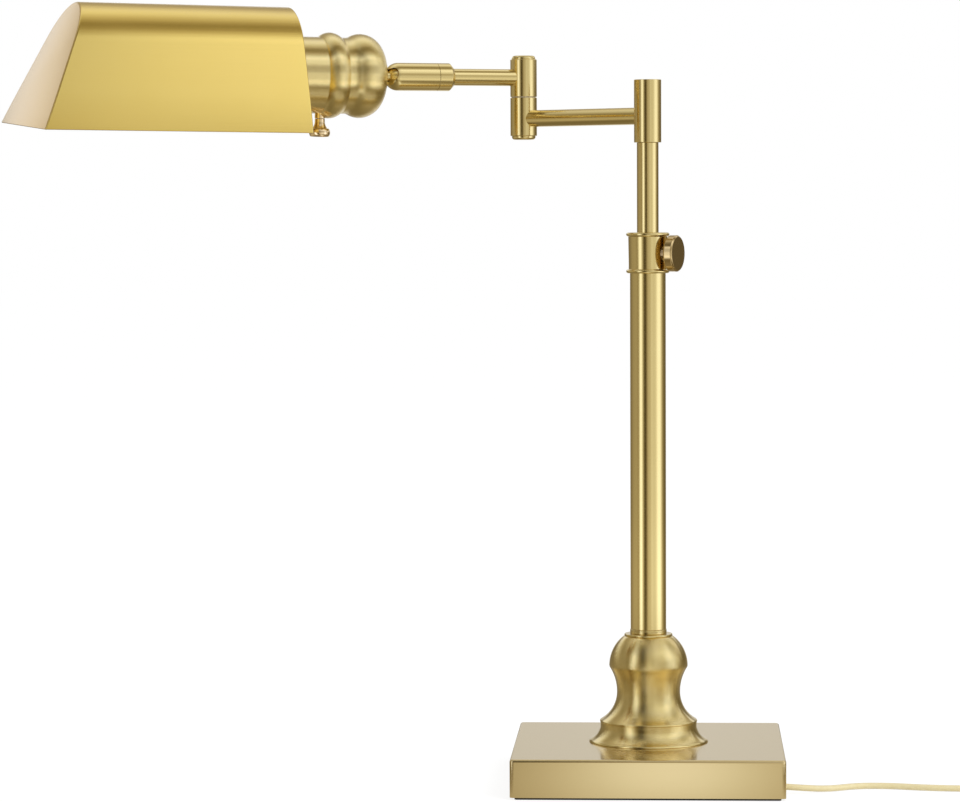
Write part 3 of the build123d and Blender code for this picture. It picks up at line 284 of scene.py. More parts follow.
turnedGrain = (0.03, 0.03, 0.0006)
brushedGrain = (0.0008, 0.0008, 0.12)
finish = {
    "post": satinBrass("brassPost", postPlace, turnedGrain),
    "turned": satinBrass("brassTurned", postPlace, turnedGrain, roughness=0.08, spread=0.33),
    # painted shade: the thumb screw's knob takes the darker copy of the brass
    "thumb": satinBrass("brassThumb", thumbPlace, turnedGrain, "paintedShade"),
    # painted shadow: the boss and the thumb screw's stem are dressed near-black where the gap is in shade
    "boss": satinBrass("brassBossPaintedShadow", thumbPlace, turnedGrain, "dark"),
    "lowerArm": satinBrass("brassLowerArm", lowerArmPlace, turnedGrain),
    "upperArm": satinBrass("brassUpperArm", upperArmPlace, turnedGrain),
    "head": satinBrass("brassHead", headPlace, turnedGrain, roughness=0.08, spread=0.33),
    "switch": satinBrass("brassSwitch", switchPlace, turnedGrain, "rosy"),
    "shade": satinBrass("brassShade", headPlace, brushedGrain, "rich", roughness=0.22, depth=0.00005),
    # painted reflection: the slanted end panel's paler brass stands in for the sheen it shows
    "shadeEnd": satinBrass("brassShadeEndPaintedSheen", headPlace, brushedGrain, "paintedSheen", roughness=0.22, depth=0.00005),
    "cover": satinBrass("brassCover", postPlace, (0.05, 0.0008, 0.0008), "pale", depth=0.00002),
    "steel": speckled(
        "zincSteel", (0.42, 0.43, 0.45), (0.58, 0.58, 0.58), 0.004, {"roughness": 0.35, "Metallic": 1.0}
    ),
    "iron": speckled("castIron", (0.02, 0.02, 0.02), (0.06, 0.055, 0.05), 0.002, {"roughness": 0.75}, (0.5, 0.0004)),
    "pad": speckled("padRubber", (0.008, 0.008, 0.008), (0.03, 0.03, 0.03), 0.0012, {"roughness": 0.8}, (0.4, 0.0002)),
    "nylon": speckled("nylon", (0.70, 0.69, 0.64), (0.82, 0.81, 0.77), 0.006, {"roughness": 0.45}),
    "moulding": speckled("blackMoulding", (0.008, 0.008, 0.009), (0.022, 0.021, 0.02), 0.003, {"roughness": 0.32}),
    "lampMetal": speckled(
        "lampCap", (0.55, 0.55, 0.56), (0.72, 0.72, 0.73), 0.003, {"roughness": 0.28, "Metallic": 1.0}
    ),
    "lampGlass": speckled(
        "frostedGlass", (0.84, 0.83, 0.80), (0.90, 0.89, 0.86), 0.01, {"roughness": 0.35, "Coat Weight": 0.3}
    ),
    "cord": speckled(
        "cordCover",
        (0.80, 0.66, 0.32),
        (0.92, 0.83, 0.54),
        0.002,
        {"roughness": 0.3, "Coat Weight": 0.4, "Coat Roughness": 0.1},
        (0.15, 0.0002),
    ),
    "blades": speckled(
        "bladeBrass", (0.72, 0.55, 0.25), (0.82, 0.66, 0.33), 0.004, {"roughness": 0.25, "Metallic": 1.0}
    ),
    "tie": speckled("tieBand", (0.012, 0.012, 0.013), (0.04, 0.04, 0.04), 0.001, {"roughness": 0.55}, (0.3, 0.0002)),
}
print("finishes:", len(finish))


# pieces: a mesh in millimetres at a place becomes a dressed object in metres
def makePiece(name, bm, place, body, stands, look, bevel=0.25, sharp=sharpAngle):
    bmesh.ops.remove_doubles(bm, verts=bm.verts, dist=weld)
    bmesh.ops.recalc_face_normals(bm, faces=bm.faces)
    bmesh.ops.transform(bm, matrix=Matrix.Scale(metre, 4) @ place, verts=bm.verts)
    mesh = meshOf(name, bm)
    mesh.shade_smooth()
    mesh.set_sharp_from_angle(angle=radians(sharp))
    mesh.materials.append(finish[look])
    piece = linked(name, mesh)
    if bevel:
        edge = piece.modifiers.new("edge", "BEVEL")
        edge.width, edge.segments, edge.limit_method = bevel * metre, 3, "ANGLE"
        edge.angle_limit, edge.harden_normals = radians(sharp), True
    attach(piece, body)
    if stands:
        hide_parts(*stands)
    return piece


# points of the arc from start to end that leaves along one heading, or arrives along another, in degrees
def bow(start, end, leaving=None, arriving=None, steps=14):
    start, end = Vector(start), Vector(end)
    chord = end - start
    lean = atan2(chord.y, chord.x)
    heading = radians(leaving) if leaving is not None else 2 * lean - radians(arriving)
    turn = (lean - heading + pi) % (2 * pi) - pi
    reach = chord.length / sin(turn)
    points = []
    for k in range(1, steps + 1):
        part = turn * k / steps
        points.append(tuple(start + reach * sin(part) * Vector((cos(heading + part), sin(heading + part)))))
    return points


# a turned piece: its outline, as (radius, height) points, spun round the place's z
def lathe(name, outline, place, body, stands, look, bevel=0.25, sharp=sharpAngle, steps=144):
    bm = bmesh.new()
    corners = [bm.verts.new((radius, 0, height)) for radius, height in outline]
    rim = [bm.edges.new(pair) for pair in zip(corners, corners[1:] + corners[:1])]
    bmesh.ops.spin(
        bm, geom=corners + rim, cent=(0, 0, 0), axis=(0, 0, 1), angle=2 * pi, steps=steps, use_merge=True
    )
    bmesh.ops.dissolve_degenerate(bm, edges=bm.edges, dist=weld)
    return makePiece(name, bm, place, body, stands, look, bevel, sharp)


def tube(radius, bore, foot, head):
    return [(bore, foot), (radius, foot), (radius, head), (bore, head)]


# supply cord, along the solids' own route and round their coil
lead = {
    "radius": 1.85,
    "exit": (80.8, -52.0, 4.3),
    "route": [
        (91.0, -52.0, 3.6),
        (106.0, -44.5, 1.95),
        (122.0, -32.5, 1.95),
        (141.0, -31.5, 1.95),
        (163.0, -38.5, 1.95),
        (186.0, -41.5, 1.95),
        (205.0, -44.0, 2.85),
    ],
    "tail": [(239.0, -44.0, 15.45), (253.5, -37.5, 11.0), (259.5, -22.0, 7.0), (259.5, -8.0, 7.0)],
    "length": 1.785,
}
coil = {
    "centre": Vector((223.0, -16.7, 0)),
    "foot": 2.85,
    "pitch": 4.2,
    "outer": 27.3,
    "halfTurns": 24,
    "reverseEvery": 6,
    "pointsPerHalf": 12,
}


def coilPoints():
    points = []
    step = pi / coil["pointsPerHalf"]
    swell = 1 / (0.75 + 0.25 * cos(step))  # the spline runs inside its points by this much
    every = coil["reverseEvery"]
    y, z = -coil["outer"], coil["foot"]
    for half in range(coil["halfTurns"]):
        radius = coil["outer"] - coil["pitch"] / 2 * abs((half + every) % (2 * every) - every)
        side = 1 if half % 2 == 0 else -1
        climbs = half and half % every == 0
        middle = y + side * radius
        for k in range(coil["pointsPerHalf"]):
            angle = (k + 0.5) * step
            rise = coil["pitch"] * (k + 0.5) / coil["pointsPerHalf"] if climbs else 0
            points.append(
                coil["centre"]
                + Vector((side * radius * swell * sin(angle), middle - side * radius * swell * cos(angle), z + rise))
            )
        y += 2 * side * radius
        z += coil["pitch"] if climbs else 0
    return points


def addCord():
    route = [lead["exit"], *lead["route"], *coilPoints(), *lead["tail"]]
    curve = bpy.data.curves.new("supplyCord", "CURVE")
    curve.dimensions = "3D"
    curve.bevel_depth = lead["radius"] * metre
    curve.bevel_resolution = 5
    curve.use_fill_caps = True
    spline = curve.splines.new("NURBS")
    spline.points.add(len(route) - 1)
    for point, spot in zip(spline.points, route):
        point.co = (*(Vector(spot) * metre), 1)
    spline.order_u = 3
    spline.use_endpoint_u = True
    spline.resolution_u = 4
    curve.materials.append(finish["cord"])
    cord = linked("supplyCord", curve)
    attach(cord, "stand")
    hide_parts("cord_lead", "cord_coil", "cord_tail")
    return cord


cord = addCord()
print("cord: laid")

# base cover
cover = {"side": 160.0, "foot": 1.4, "top": 23.7, "corner": 2.2, "edge": 1.5, "wall": 1.2, "lip": 1.0, "hold": 0.3}


def addCover():
    bm = bmesh.new()
    bmesh.ops.create_cube(bm, size=1)
    tall = cover["top"] - cover["foot"]
    bmesh.ops.scale(bm, vec=(cover["side"], cover["side"], tall), verts=bm.verts)
    bmesh.ops.translate(bm, vec=(0, 0, cover["foot"] + tall / 2), verts=bm.verts)
    upright = [edge for edge in bm.edges if abs(edge.verts[0].co.z - edge.verts[1].co.z) > tall / 2]
    soft = {"affect": "EDGES", "segments": 6, "profile": 0.5, "material": -1}
    bmesh.ops.bevel(bm, geom=upright, offset=cover["corner"], **soft)
    brim = [edge for edge in bm.edges if min(v.co.z for v in edge.verts) > cover["top"] - nearly]
    bmesh.ops.bevel(bm, geom=brim, offset=cover["edge"], **soft)
    under = min(bm.faces, key=lambda face: face.calc_center_median().z)
    bmesh.ops.inset_region(bm, faces=[under], thickness=cover["wall"])
    bmesh.ops.translate(bm, vec=(0, 0, cover["lip"]), verts=under.verts)
    flats = [face for face in bm.faces if face is not under and face.calc_area() > cover["side"] * tall / 2]
    bmesh.ops.inset_individual(bm, faces=flats, thickness=cover["hold"])
    makePiece("baseCover", bm, postPlace, "stand", ["base_cover"], "cover", bevel=0.2)


addCover()

# pedestal: flared foot, waisted vase and a thin ring
foot = {
    "bore": 5.1,
    "lip": 35.6,
    "lipHeight": 1.2,
    "lipEdge": 0.5,
    "skirt": -76,
    "step": 28.8,
    "stepFoot": 32.3,
    "top": 35.5,
}
vase = {
    "footRadius": 29.1,
    "footEdge": 0.9,
    "flare": (28.6, 36.8),
    "waist": (18.85, 53.5),
    "crease": (22.6, 67.4),
    "shoulder": (23.25, 68.5),
    "bulb": (23.45, 69.4),
    "top": (14.6, 87.0),
}
ring = {"radius": 14.4, "foot": 87.0, "head": 88.4}


def addPedestal():
    lipTop = (foot["lip"] - foot["lipEdge"], cover["top"] + foot["lipHeight"])
    stepFoot = (foot["step"], foot["stepFoot"])
    lathe(
        "pedestalFoot",
        [
            (foot["bore"], cover["top"]),
            (foot["bore"], foot["top"]),
            (foot["step"], foot["top"]),
            stepFoot,
            *bow(stepFoot, lipTop, leaving=foot["skirt"]),
            (foot["lip"], cover["top"] + foot["lipHeight"] / 2),
            (foot["lip"], cover["top"]),
        ],
        postPlace,
        "stand",
        ["pedestal_foot"],
        "turned",
    )
    lathe(
        "pedestalVase",
        [
            (foot["bore"], foot["top"]),
            (vase["footRadius"], foot["top"]),
            (vase["footRadius"], foot["top"] + vase["footEdge"]),
            vase["flare"],
            *bow(vase["flare"], vase["waist"], arriving=90),
            *bow(vase["waist"], vase["crease"], leaving=90),
            vase["shoulder"],
            vase["bulb"],
            *bow(vase["bulb"], vase["top"], leaving=90),
            (foot["bore"], vase["top"][1]),
        ],
        postPlace,
        "stand",
        ["pedestal_body"],
        "turned",
    )
    lathe(
        "pedestalRing",
        tube(ring["radius"], foot["bore"], ring["foot"], ring["head"]),
        postPlace,
        "stand",
        ["pedestal_top_ring"],
        "turned",
        bevel=0.55,
    )


addPedestal()
print("base and pedestal: done")

# post: fixed tube, beaded collar, sliding shaft
post = {"radius": 10.65, "bore": 9.35, "foot": 91.0, "head": 309.0, "ferrule": 10.95}
collar = {
    "radius": 11.4,
    "bead": 12.9,
    "beadHeight": 2.2,
    "beadGap": 4.0,
    "foot": 303.7,
    "head": 327.8,
    "mouth": 6.95,
    "ledge": 1.0,
}
boss = {"radius": 5.2, "bore": 2.95, "foot": 10.0, "face": 12.6}
shaft = {"radius": 6.45, "bore": 5.0, "foot": 168.0, "head": 381.2}


def addPost():
    lathe(
        "postFerrule",
        tube(post["ferrule"], foot["bore"], ring["head"], post["foot"]),
        postPlace,
        "stand",
        ["post_ferrule"],
        "turned",
        bevel=0.35,
    )
    lathe(
        "postTube",
        tube(post["radius"], post["bore"], post["foot"], post["head"]),
        postPlace,
        "stand",
        ["post_tube"],
        "post",
    )
    around, ledge = post["radius"] + seatGap, post["head"] + collar["ledge"]
    outline = [(around, collar["foot"]), (collar["radius"], collar["foot"])]
    for low in (collar["foot"], collar["head"] - collar["beadHeight"]):
        crest = (collar["bead"], low + collar["beadHeight"] / 2)
        high = (collar["radius"], low + collar["beadHeight"])
        outline += bow((collar["radius"], low), crest, arriving=90, steps=8)
        outline += bow(crest, high, leaving=90, steps=8)
        outline.append((collar["radius"], low + collar["beadHeight"] + collar["beadGap"]))
    outline[-1] = (collar["mouth"], collar["head"])
    outline += [(collar["mouth"], ledge), (around, ledge)]
    lathe("clampCollar", outline, postPlace, "stand", ["clamp_collar"], "post")
    # the boss takes the near-black finish, which is painted shadow
    lathe(
        "thumbBoss",
        tube(boss["radius"], boss["bore"], boss["foot"], boss["face"]),
        thumbPlace,
        "stand",
        [],
        "boss",
    )
    lathe(
        "shaftTube",
        tube(shaft["radius"], shaft["bore"], shaft["foot"], shaft["head"]),
        postPlace,
        "shaft",
        ["shaft_tube"],
        "post",
    )


addPost()

thumb = {
    "radius": 10.85,
    "inner": 13.9,
    "outer": 19.6,
    "chamfer": 0.8,
    "neck": 3.9,
    "neckFoot": 12.7,
    "screw": 2.9,
    "tip": 6.75,
}


def addThumbScrew():
    r, c = thumb["radius"], thumb["chamfer"]
    # the knob wears the darker thumb brass, which is painted shade
    lathe(
        "thumbKnob",
        [
            (0, thumb["inner"]),
            (r - c, thumb["inner"]),
            (r, thumb["inner"] + c),
            (r, thumb["outer"] - c),
            (r - c, thumb["outer"]),
            (0, thumb["outer"]),
        ],
        thumbPlace,
        "thumb_screw",
        ["thumb_knob"],
        "thumb",
        sharp=25,
    )
    # the stem takes the same near-black finish as the boss, which is painted shadow
    lathe(
        "thumbStem",
        [
            (0, thumb["tip"]),
            (thumb["screw"], thumb["tip"]),
            (thumb["screw"], thumb["neckFoot"]),
            (thumb["neck"], thumb["neckFoot"]),
            (thumb["neck"], thumb["inner"]),
            (0, thumb["inner"]),
        ],
        thumbPlace,
        "thumb_screw",
        ["thumb_stem"],
        "boss",
    )


addThumbScrew()
print("post: done")

# arms: level tubes between barrels
sleeve = {"radius": 8.1, "bore": 5.05, "foot": 381.25, "head": 418.5, "cap": 7.0, "capDepth": 3.0, "capDip": 0.15}
barrel = {"radius": 8.1, "hollow": 6.3, "foot": 386.5, "seam": 409.9, "gap": 0.4, "head": 433.1}
cap = {"radius": 7.2, "height": 2.3, "dome": 1.7, "spigot": 3.0}
arm = {"radius": 5.1, "bore": 3.6, "sunk": 1.8, "lowerLength": 99.0, "upperEnd": 50.0}


def addArms():
    capFoot, capTop = sleeve["head"] - sleeve["capDepth"], sleeve["head"] - sleeve["capDip"]
    lathe(
        "postSleeve",
        [
            (sleeve["bore"], sleeve["foot"]),
            (sleeve["radius"], sleeve["foot"]),
            (sleeve["radius"], sleeve["head"]),
            (sleeve["cap"], sleeve["head"]),
            (sleeve["cap"], capFoot),
            (sleeve["bore"], capFoot),
        ],
        postPlace,
        "lower_arm",
        ["post_sleeve"],
        "post",
    )
    lathe(
        "sleeveCap",
        tube(sleeve["cap"], 0, capFoot, capTop),
        postPlace,
        "lower_arm",
        ["sleeve_cap"],
        "post",
    )
    lathe(
        "lowerArmTube",
        tube(
            arm["radius"],
            arm["bore"],
            sleeve["radius"] - arm["sunk"],
            arm["lowerLength"] - barrel["radius"] + arm["sunk"],
        ),
        lowerArmPlace,
        "lower_arm",
        ["lower_arm_tube"],
        "lowerArm",
        bevel=0,
    )
    lathe(
        "lowerKnuckle",
        tube(barrel["radius"], barrel["hollow"], barrel["foot"], barrel["seam"]),
        knucklePlace,
        "lower_arm",
        ["lower_knuckle"],
        "post",
        bevel=0.35,
    )
    lathe(
        "upperKnuckle",
        tube(barrel["radius"], barrel["hollow"], barrel["seam"] + barrel["gap"], barrel["head"]),
        knucklePlace,
        "upper_arm",
        ["upper_knuckle"],
        "post",
        bevel=0.35,
    )
    for name, node, body, seat, way in (
        ("lowerCap", "lower_knuckle_cap", "lower_arm", barrel["foot"], -1),
        ("upperCap", "upper_knuckle_cap", "upper_arm", barrel["head"], 1),
    ):
        end, root = seat + way * cap["height"], seat - way * cap["spigot"]
        plug, brow = barrel["hollow"] - seatGap, (cap["radius"], end - way * cap["dome"])
        lathe(
            name,
            [
                (0, root),
                (plug, root),
                (plug, seat),
                (cap["radius"], seat),
                brow,
                *bow(brow, (cap["radius"] - cap["dome"], end), leaving=90 * way),
                (0, end),
            ],
            knucklePlace,
            body,
            [node],
            "post",
        )
    lathe(
        "upperArmTube",
        tube(arm["radius"], arm["bore"], barrel["radius"] - arm["sunk"], arm["upperEnd"]),
        upperArmPlace,
        "upper_arm",
        ["upper_arm_tube"],
        "upperArm",
        bevel=0,
    )


addArms()

# swivel: ring on the arm, slotted barrel with a round end, ball on the head's stem
swivel = {
    "ringFoot": 46.6,
    "ringHead": 56.8,
    "ringChamfer": 2.2,
    "foot": 57.0,
    "radius": 8.4,
    "bore": 7.2,
    "ball": 81.5,
    "slot": 3.8,
    "slotReach": 50,
    "slotStep": 10,
}
stem = {"ball": 6.9, "radius": 3.5, "end": 20.0}


def addSwivel():
    lathe(
        "swivelRing",
        [
            (arm["radius"] + seatGap, swivel["ringFoot"]),
            (swivel["radius"] - swivel["ringChamfer"], swivel["ringFoot"]),
            (swivel["radius"], swivel["ringFoot"] + swivel["ringChamfer"]),
            (swivel["radius"], swivel["ringHead"]),
            (arm["radius"] + seatGap, swivel["ringHead"]),
        ],
        upperArmPlace,
        "upper_arm",
        ["swivel_ring"],
        "upperArm",
        sharp=25,
    )
    r, bore, centre = swivel["radius"], swivel["bore"], swivel["ball"]
    socket = lathe(
        "swivelBarrel",
        [
            (bore, swivel["foot"]),
            (r, swivel["foot"]),
            (r, centre),
            *bow((r, centre), (0, centre + r), leaving=90, steps=24),
            *reversed(bow((bore, centre), (0, centre + bore), leaving=90, steps=24)),
            (bore, centre),
        ],
        upperArmPlace,
        "swivel",
        ["swivel_barrel"],
        "upperArm",
        bevel=0,
        steps=192,
    )
    # the slot is cut by the stem's way, straight out and at its full bend, and by the fan between them
    bendAxis = jointAxis("head_bend")
    half = 1.5 * r
    cutter = bmesh.new()
    for bend in range(0, swivel["slotReach"] + 1, swivel["slotStep"]):
        way = Matrix.Rotation(radians(bend), 3, bendAxis) @ armRun
        along = lyingAt(ball, way, bendAxis)
        bmesh.ops.create_cone(
            cutter,
            cap_ends=True,
            segments=64,
            radius1=swivel["slot"],
            radius2=swivel["slot"],
            depth=2 * half,
            matrix=along @ Matrix.Translation((0, 0, half)),
        )
    bmesh.ops.transform(cutter, matrix=Matrix.Scale(metre, 4), verts=cutter.verts)
    blade = linked("slotCutter", meshOf("slotCutter", cutter))
    cut = socket.modifiers.new("slot", "BOOLEAN")
    cut.object, cut.operation, cut.solver, cut.use_self = blade, "DIFFERENCE", "EXACT", True
    bpy.context.view_layer.update()
    solid = bpy.data.meshes.new_from_object(socket.evaluated_get(bpy.context.evaluated_depsgraph_get()))
    socket.modifiers.clear()
    socket.data = solid
    solid.set_sharp_from_angle(angle=radians(sharpAngle))
    bpy.data.objects.remove(blade)
    ballEdge = sqrt(stem["ball"] ** 2 - stem["radius"] ** 2)
    lathe(
        "ballStem",
        [
            *bow((0, -stem["ball"]), (stem["ball"], 0), leaving=0, steps=20),
            *bow((stem["ball"], 0), (stem["radius"], ballEdge), leaving=90, steps=16),
            (stem["radius"], stem["end"]),
            (0, stem["end"]),
            (0, -stem["ball"]),
        ],
        headPlace,
        "head",
        ["ball_stem"],
        "head",
        bevel=0,
    )


addSwivel()
print("arms and swivel: done")

# head: turned cup and lamp
cup = {
    "end": 11.2,
    "endRadius": 12.8,
    "wall": 1.3,
    "stemGap": 0.05,
    "crest": (25.2, 24.7),
    "cove": (23.6, 30.8),
    "coveMiddle": (22.75, 34.2),
    "bead": (23.0, 37.4),
    "beadMiddle": (25.7, 44.0),
    "beadEnd": (22.9, 50.2),
    "radius": 22.9,
    "bore": 21.7,
    "mouth": 69.8,
}
lamp = {"capRadius": 13.0, "neck": 78.6, "flare": 2.5, "flareTall": 6, "middle": 112.5, "radius": 24.0}


def addHead():
    hole = stem["radius"] + cup["stemGap"]
    lathe(
        "socketCup",
        [
            (hole, cup["end"]),
            (cup["endRadius"], cup["end"]),
            *bow((cup["endRadius"], cup["end"]), cup["crest"], arriving=90, steps=24),
            *bow(cup["crest"], cup["cove"], leaving=90, steps=8),
            *bow(cup["cove"], cup["coveMiddle"], arriving=90, steps=6),
            *bow(cup["coveMiddle"], cup["bead"], leaving=90, steps=6),
            *bow(cup["bead"], cup["beadMiddle"], arriving=90, steps=10),
            *bow(cup["beadMiddle"], cup["beadEnd"], leaving=90, steps=10),
            (cup["radius"], cup["mouth"]),
            (cup["bore"], cup["mouth"]),
            (cup["bore"], cup["crest"][1]),
            (cup["endRadius"], cup["end"] + cup["wall"]),
            (hole, cup["end"] + cup["wall"]),
        ],
        headPlace,
        "head",
        ["socket_cup"],
        "head",
        steps=192,
    )
    neck = (lamp["capRadius"], lamp["neck"])
    shoulder = (lamp["capRadius"] + lamp["flare"], lamp["neck"] + lamp["flareTall"])
    belly = (lamp["radius"], lamp["middle"])
    lathe(
        "lampGlass",
        [
            (0, lamp["neck"]),
            neck,
            shoulder,
            *bow(shoulder, belly, arriving=90, steps=20),
            *bow(belly, (0, lamp["middle"] + lamp["radius"]), leaving=90, steps=24),
        ],
        headPlace,
        "head",
        ["lamp_glass"],
        "lampGlass",
        bevel=0,
        sharp=60,
    )


addHead()

knob = {
    "top": 25.9,
    "neck": 3.0,
    "neckTall": 1.2,
    "flare": 1.6,
    "shoulder": 31.7,
    "disc": 6.35,
    "round": 0.9,
    "end": 36.7,
}
bush = {"radius": 3.1, "bore": 1.55, "top": 20.9, "end": 25.75}


def addSwitch():
    flareEnd = (knob["neck"] + knob["flare"], knob["shoulder"])
    neckEnd = (knob["neck"], knob["top"] + knob["neckTall"])
    rim, middle = knob["disc"] - knob["round"], (knob["disc"], (knob["shoulder"] + knob["end"]) / 2)
    lathe(
        "switchKnob",
        [
            (0, knob["top"]),
            (knob["neck"], knob["top"]),
            neckEnd,
            *bow(neckEnd, flareEnd, leaving=90, steps=8),
            (rim, knob["shoulder"]),
            *bow((rim, knob["shoulder"]), middle, arriving=90, steps=8),
            *bow(middle, (rim, knob["end"]), leaving=90, steps=8),
            (0, knob["end"]),
        ],
        switchPlace,
        "switch",
        ["switch_knob"],
        "switch",
        steps=96,
    )
    lathe(
        "switchBushing",
        tube(bush["radius"], bush["bore"], bush["top"], bush["end"]),
        switchPlace,
        "head",
        ["switch_bushing"],
        "switch",
        bevel=0.2,
        steps=96,
    )


addSwitch()

# shade: one sheet, arched over straight sides, with a flat back and a slanted end
shade = {
    "back": 69.8,
    "rise": 40.1,
    "arch": 36.0,
    "flare": 23.4,
    "height": 72.7,
    "ridge": 130.1,
    "slant": 23.1,
    "sheet": 0.9,
    "fold": 1.0,
    "foldAngle": 30,
    "curl": (22.0, 6.0),
    "archSteps": 40,
    "hemSteps": 10,
}


def addShade():
    lean = radians(shade["flare"])
    spring = Vector((shade["arch"] * cos(lean), shade["rise"] - shade["arch"] * (1 - sin(lean))))
    footY = shade["rise"] - shade["height"]
    footX = spring.x + (spring.y - footY) * tan(lean)
    arch = bow(spring, (-spring.x, spring.y), leaving=90 + shade["flare"], steps=shade["archSteps"])
    # the sides are flat, but for a hem that curls in by a few degrees
    tall, curl = shade["curl"][0], radians(shade["curl"][1])
    hemTop = (footX - tall * tan(lean), footY + tall)
    hemFoot = (footX - tall * tan(curl / 2), footY)
    hem = bow(hemTop, hemFoot, leaving=shade["flare"] - 90, steps=shade["hemSteps"])
    outline = [*reversed(hem), hemTop, tuple(spring), *arch]
    outline += [(-hemTop[0], hemTop[1]), *((-x, y) for x, y in hem)]
    bm = bmesh.new()
    wire = [bm.verts.new((x, y, shade["back"])) for x, y in outline]
    edges = [bm.edges.new(pair) for pair in zip(wire, wire[1:])]
    pulled = bmesh.ops.extrude_edge_only(bm, edges=edges)
    far = [item for item in pulled["geom"] if isinstance(item, bmesh.types.BMVert)]
    bmesh.ops.translate(bm, vec=(0, 0, shade["ridge"] + shade["height"]), verts=far)
    slant = radians(shade["slant"])
    bmesh.ops.bisect_plane(
        bm,
        geom=bm.verts[:] + bm.edges[:] + bm.faces[:],
        plane_co=(0, shade["rise"], shade["back"] + shade["ridge"]),
        plane_no=(0, sin(slant), cos(slant)),
        clear_outer=True,
    )
    # each end is closed by one flat panel
    for atBack in (True, False):
        loop = [
            edge
            for edge in bm.edges
            if edge.is_boundary
            and all((abs(v.co.z - shade["back"]) < nearly) == atBack for v in edge.verts)
        ]
        feet = sorted({v for edge in loop for v in edge.verts}, key=lambda v: v.co.y)[:2]
        panel = bmesh.ops.contextual_create(bm, geom=loop + [bm.edges.new(feet)])["faces"][0]
        # the slanted end takes the second material, a paler brass that paints its sheen
        panel.material_index = 0 if atBack else 1
    bmesh.ops.recalc_face_normals(bm, faces=bm.faces)
    steep = radians(shade["foldAngle"])
    folds = [edge for edge in bm.edges if len(edge.link_faces) == 2 and edge.calc_face_angle() > steep]
    bmesh.ops.bevel(
        bm, geom=folds, offset=shade["fold"], segments=4, affect="EDGES", profile=0.5, material=-1
    )
    bmesh.ops.recalc_face_normals(bm, faces=bm.faces)
    bmesh.ops.solidify(bm, geom=bm.faces[:], thickness=shade["sheet"])
    shell = makePiece(
        "shadeShell",
        bm,
        headPlace,
        "head",
        ["shade_trough", "shade_end_panel", "shade_back_panel"],
        "shade",
        bevel=0.2,
        sharp=50,
    )
    # second material: the paler brass that paints the slanted end's sheen
    shell.data.materials.append(finish["shadeEnd"])


addShade()
print("head: done")

# carried-over solids get their finishes
dress = {
    "pad": ["base_pad"],
    "iron": ["base_weight"],
    "steel": [
        "stud_pipe",
        "pipe_nut",
        "pipe_washer",
        "sleeve_spigot",
        "knuckle_pivot",
        "pivot_nut",
        "swivel_spigot",
        "stem_nut",
        "switch_spindle",
    ],
    "nylon": ["tube_insert", "guide_bush", "glide_plug", "knuckle_washer", "ball_pad"],
    "moulding": ["lamp_holder", "shade_nut"],
    "lampMetal": ["lamp_base"],
    "cord": ["plug_body", "cord_grommet"],
    "blades": ["plug_blades"],
    "tie": ["coil_tie"],
}
for look, nodes in dress.items():
    for node in nodes:
        mesh = frame["nodes"][node].data
        mesh.materials.clear()
        mesh.materials.append(finish[look])
print("solids: dressed")

